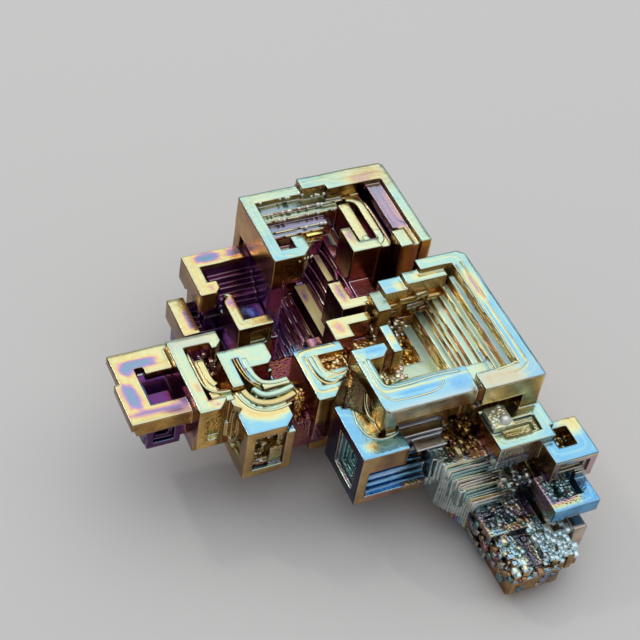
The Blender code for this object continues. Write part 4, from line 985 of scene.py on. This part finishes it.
class BISMUTH_OT_grains(bpy.types.Operator):
    """Scatters the crumbs of small cubic crystals in the rough places"""
    bl_idname = "bismuth.grains"
    bl_label = "Grains"

    def execute(self, context):
        g = Growths(53)
        golds = (GOLD, GOLD - 0.02, STRAW, GOLD + 0.03, YELLOW)
        browns = (COPPER, MAROON - 0.03, GOLD + 0.03, MAROON)
        pales = (SKY, SKY - 0.03, MINT, STRAW, SEA)
        # A brightness above one makes the crumbs a painted highlight, most of all on the crust of the lower right;
        # below one it is painted shade.
        g.grains(110, (37.2, 41.8), (32.3, 36.8), (9.6, 11.3), (0.25, 0.6), films=(GOLD, GOLD + 0.02, STRAW, GOLD - 0.02, YELLOW), shade=1.5)
        g.grains(60, (33.3, 37.0), (28.2, 30.6), (12.8, 15.4), (0.25, 0.6), films=(GOLD, STRAW, YELLOW, CREAM), shade=1.7, bare=0.2, dull=0.2)
        g.grains(26, (36.4, 38.4), (29.2, 30.8), (12.0, 15.0), (0.3, 0.6), films=(PINK, CREAM, STRAW, LILAC - 0.03), shade=1.6, bare=0.5, dull=0.3)
        g.grains(40, (33.4, 36.6), (30.9, 35.6), (12.9, 13.5), (0.3, 0.7), films=golds + (PINK - 0.03, CREAM), shade=1.2, bare=0.15)
        g.grains(36, (37.0, 41.5), (34.8, 37.5), (12.0, 15.5), (0.3, 0.6), films=(STRAW, SLATE, SILVER, CREAM), shade=1.0, bare=0.5)
        g.grains(60, (33.9, 36.0), (30.0, 36.4), (10.8, 12.5), (0.3, 0.7), films=browns, shade=1.0)
        g.grains(36, (28.9, 31.5), (30.9, 33.2), (13.9, 15.3), (0.25, 0.5), films=golds, shade=1.2, bare=0.1)
        g.grains(46, (22.4, 25.3), (28.8, 30.3), (14.0, 15.0), (0.2, 0.45), films=golds + (COPPER,), shade=1.1)
        g.grains(70, (23.0, 28.2), (28.2, 33.4), (11.2, 12.4), (0.3, 0.8), films=browns, shade=0.7)
        g.grains(26, (15.6, 18.2), (36.8, 38.6), (12.0, 14.4), (0.25, 0.5), films=(SILVER, COPPER, PINK, MAROON - 0.04), shade=1.3, bare=0.4)
        g.grains(40, (18.6, 22.2), (26.4, 28.2), (8.2, 12.5), (0.25, 0.7), lean=12.0, films=(STRAW, GOLD, SILVER), shade=1.1, bare=0.45)
        g.grains(90, (38.4, 43.4), (17.8, 23.4), (10.6, 12.6), (0.3, 0.8), films=browns + golds, shade=0.6, bare=0.1)
        g.grains(60, (43.4, 48.2), (14.6, 17.6), (6.4, 9.8), (0.3, 0.9), films=(SEA, STRAW, SLATE, SILVER), shade=0.9, bare=0.4)
        g.grains(26, (50.1, 52.1), (14.3, 16.6), (11.6, 12.9), (0.2, 0.5), films=(GOLD, SEA, STRAW, MINT), shade=0.9, bare=0.1)
        g.grains(60, (47.8, 51.2), (10.4, 13.6), (9.4, 10.3), (0.2, 0.5), films=(SEA, SKY, MINT), shade=1.0, bare=0.3)
        g.grains(110, (41.7, 43.7), (5.3, 10.4), (4.6, 5.7), (0.2, 0.6), films=pales, shade=1.5, bare=0.35, dull=0.3)
        g.grains(150, (45.6, 50.0), (5.6, 10.6), (4.9, 6.2), (0.2, 0.6), films=(SKY, SKY - 0.03, SKY + 0.02), shade=1.9, bare=0.45, dull=0.4)
        g.grains(50, (41.4, 46.6), (10.6, 14.4), (5.4, 6.3), (0.3, 0.7), films=(SLATE, SEA, SILVER, COPPER), shade=0.8, bare=0.3)
        for count in range(RIB_PAIRS):
            y = 17.0 - 0.2 * count
            x = 37.4 + 0.2 * count
            top = 12.1 - 0.3 * count
            g.slab((x, x + g.chance.uniform(3.5, 6.0)), (y - 0.14, y + 0.02), (top - 1.6, top + g.chance.uniform(-0.1, 0.15)),
                   turn=g.chance.uniform(-2.0, 2.0), film=g.chance.choice((STRAW, SILVER, GOLD, CREAM, SEA)), shade=1.1, bare=0.35)
        # rear hopper: the gilded block and the facet over the basin, both brightened as painted highlight
        g.slab((34.4, 36.5), (49.75, 50.3), (16.6, 17.5), film=GOLD - 0.01, shade=1.9)
        g.slab((34.0, 36.3), (49.7, 50.0), (16.35, 16.55), film=STRAW, shade=1.5, bare=0.2)
        # right hopper: broken plates along its back wall
        for x, z, film in ((38.4, 16.4, GOLD), (39.2, 15.3, COPPER), (40.6, 17.0, GOLD), (41.6, 15.9, SILVER),
                           (42.6, 17.4, STRAW), (43.4, 14.9, COPPER), (40.2, 13.9, COPPER), (44.3, 16.6, GOLD)):
            g.slab((x, x + g.chance.uniform(1.2, 2.6)), (36.9, 37.7), (z - 0.4, z + 0.4), turn=g.chance.uniform(-4, 8),
                   tilt=g.chance.uniform(-20, 10), bevel=0.12, film=film, shade=0.9, bare=0.15)
        for count in range(6):
            z = 8.4 + 0.6 * count
            y = 19.0 + 0.45 * count
            g.slab((29.2, 36.4), (y, y + 0.35), (z - 0.5, z + 0.1), tilt=g.chance.uniform(-25.0, 25.0),
                   film=g.chance.choice((BLUE, BLUE + 0.03, BLUE)), shade=1.1, bare=0.1)
        # lower right: the rough side walls of the crust and of the foot behind it
        rough = (COPPER, GOLD + 0.03, SLATE, SILVER, MAROON, SEA)
        g.grains(34, (41.35, 41.6), (5.6, 10.4), (2.5, 4.6), (0.3, 0.75), lean=20.0, films=rough, shade=0.55, bare=0.15)
        g.grains(30, (42.2, 46.8), (5.15, 5.35), (2.6, 4.6), (0.3, 0.75), lean=20.0, films=rough, shade=0.7, bare=0.2)
        g.grains(30, (40.95, 41.2), (10.8, 14.8), (2.0, 5.7), (0.3, 0.8), lean=20.0, films=rough, shade=0.6, bare=0.2)
        g.piece("grains")
        return {"FINISHED"}


class BISMUTH_OT_finishes(bpy.types.Operator):
    """Makes the finishes that the pieces share"""
    bl_idname = "bismuth.finishes"
    bl_label = "Finishes"

    def execute(self, context):
        film_material("iridescent film")
        return {"FINISHED"}


# ---------------------------------------------------------------- stage

def soft_light(name, place, aim, size, power, colour=(1.0, 1.0, 1.0)):
    data = bpy.data.lights.new(name, "AREA")
    data.shape = "RECTANGLE"
    data.size, data.size_y = size
    data.energy = power
    data.color = colour
    lamp = bpy.data.objects.new(name, data)
    bpy.context.scene.collection.objects.link(lamp)
    lamp.location = place
    lamp.rotation_euler = (Vector(aim) - Vector(place)).to_track_quat("-Z", "Y").to_euler()
    return lamp


class BISMUTH_OT_stage(bpy.types.Operator):
    """Sets the floor, the soft lights and the camera"""
    bl_idname = "bismuth.stage"
    bl_label = "Stage"

    def execute(self, context):
        studio = context.scene.bismuth_studio
        shape = bmesh.new()
        bmesh.ops.create_grid(shape, x_segments=1, y_segments=1, size=1.2)
        mesh = bpy.data.meshes.new("floor")
        shape.to_mesh(mesh)
        shape.free()
        floor = bpy.data.objects.new("floor", mesh)
        context.scene.collection.objects.link(floor)
        n = ObjectNodes("pale floor")
        n.shader.inputs["Base Color"].default_value = (*studio.floor, 1.0)
        n.shader.inputs["Roughness"].default_value = 0.85
        mesh.materials.append(n.material)
        floor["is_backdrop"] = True

        world = bpy.data.worlds.new("room")
        context.scene.world = world
        world.use_nodes = True
        background = world.node_tree.nodes["Background"]
        background.inputs["Color"].default_value = (0.75, 0.80, 0.88, 1.0)
        background.inputs["Strength"].default_value = studio.room

        soft_light("ceiling light", (0.10, 0.10, 0.42), (0.10, 0.10, 0.0), (0.75, 0.75), studio.ceiling_power)
        soft_light("key light", (0.17, 0.27, 0.33), (0.004, 0.006, 0.01), (0.26, 0.26), studio.key_power)
        soft_light("glint light", (-0.16, 0.22, 0.30), (0.0, 0.0, 0.01), (0.03, 0.03), studio.glint_power, (1.0, 0.95, 0.85))

        data = bpy.data.cameras.new("camera")
        data.lens = 90.0
        data.sensor_width = 36.0
        data.clip_start = 0.01
        camera = bpy.data.objects.new("camera", data)
        context.scene.collection.objects.link(camera)
        camera.location = (-0.06571, -0.09992, 0.14764)
        camera.rotation_euler = Euler((math.radians(43.361), math.radians(-7.460), math.radians(-24.017)))
        context.scene.camera = camera
        context.scene.view_settings.view_transform = "Standard"
        return {"FINISHED"}


class BISMUTH_PT_panel(bpy.types.Panel):
    """Lists what makes the crystal, in order"""
    bl_idname = "BISMUTH_PT_panel"
    bl_label = "Bismuth"
    bl_space_type = "VIEW_3D"
    bl_region_type = "UI"
    bl_category = "Bismuth"

    def draw(self, context):
        for step in STEPS:
            self.layout.operator(step.bl_idname)


STEPS = (BISMUTH_OT_finishes, BISMUTH_OT_grown_metal, BISMUTH_OT_flow_ridges, BISMUTH_OT_threads, BISMUTH_OT_beads,
         BISMUTH_OT_grains, BISMUTH_OT_stage)
GROUPS = (BismuthSizes, BismuthFilm, BismuthStudio)


def register():
    for item in (*GROUPS, *STEPS, BISMUTH_PT_panel):
        bpy.utils.register_class(item)
    bpy.types.Scene.bismuth_sizes = PointerProperty(type=BismuthSizes)
    bpy.types.Scene.bismuth_film = PointerProperty(type=BismuthFilm)
    bpy.types.Scene.bismuth_studio = PointerProperty(type=BismuthStudio)


def unregister():
    del bpy.types.Scene.bismuth_studio
    del bpy.types.Scene.bismuth_film
    del bpy.types.Scene.bismuth_sizes
    for item in reversed((*GROUPS, *STEPS, BISMUTH_PT_panel)):
        bpy.utils.unregister_class(item)


def corners(bounds):
    return [list(corner) for corner in bounds]


def main():
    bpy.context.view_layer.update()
    register()
    for step in STEPS:
        group, name = step.bl_idname.split(".")
        getattr(getattr(bpy.ops, group), name)()


if __name__ == "__main__":
    main()
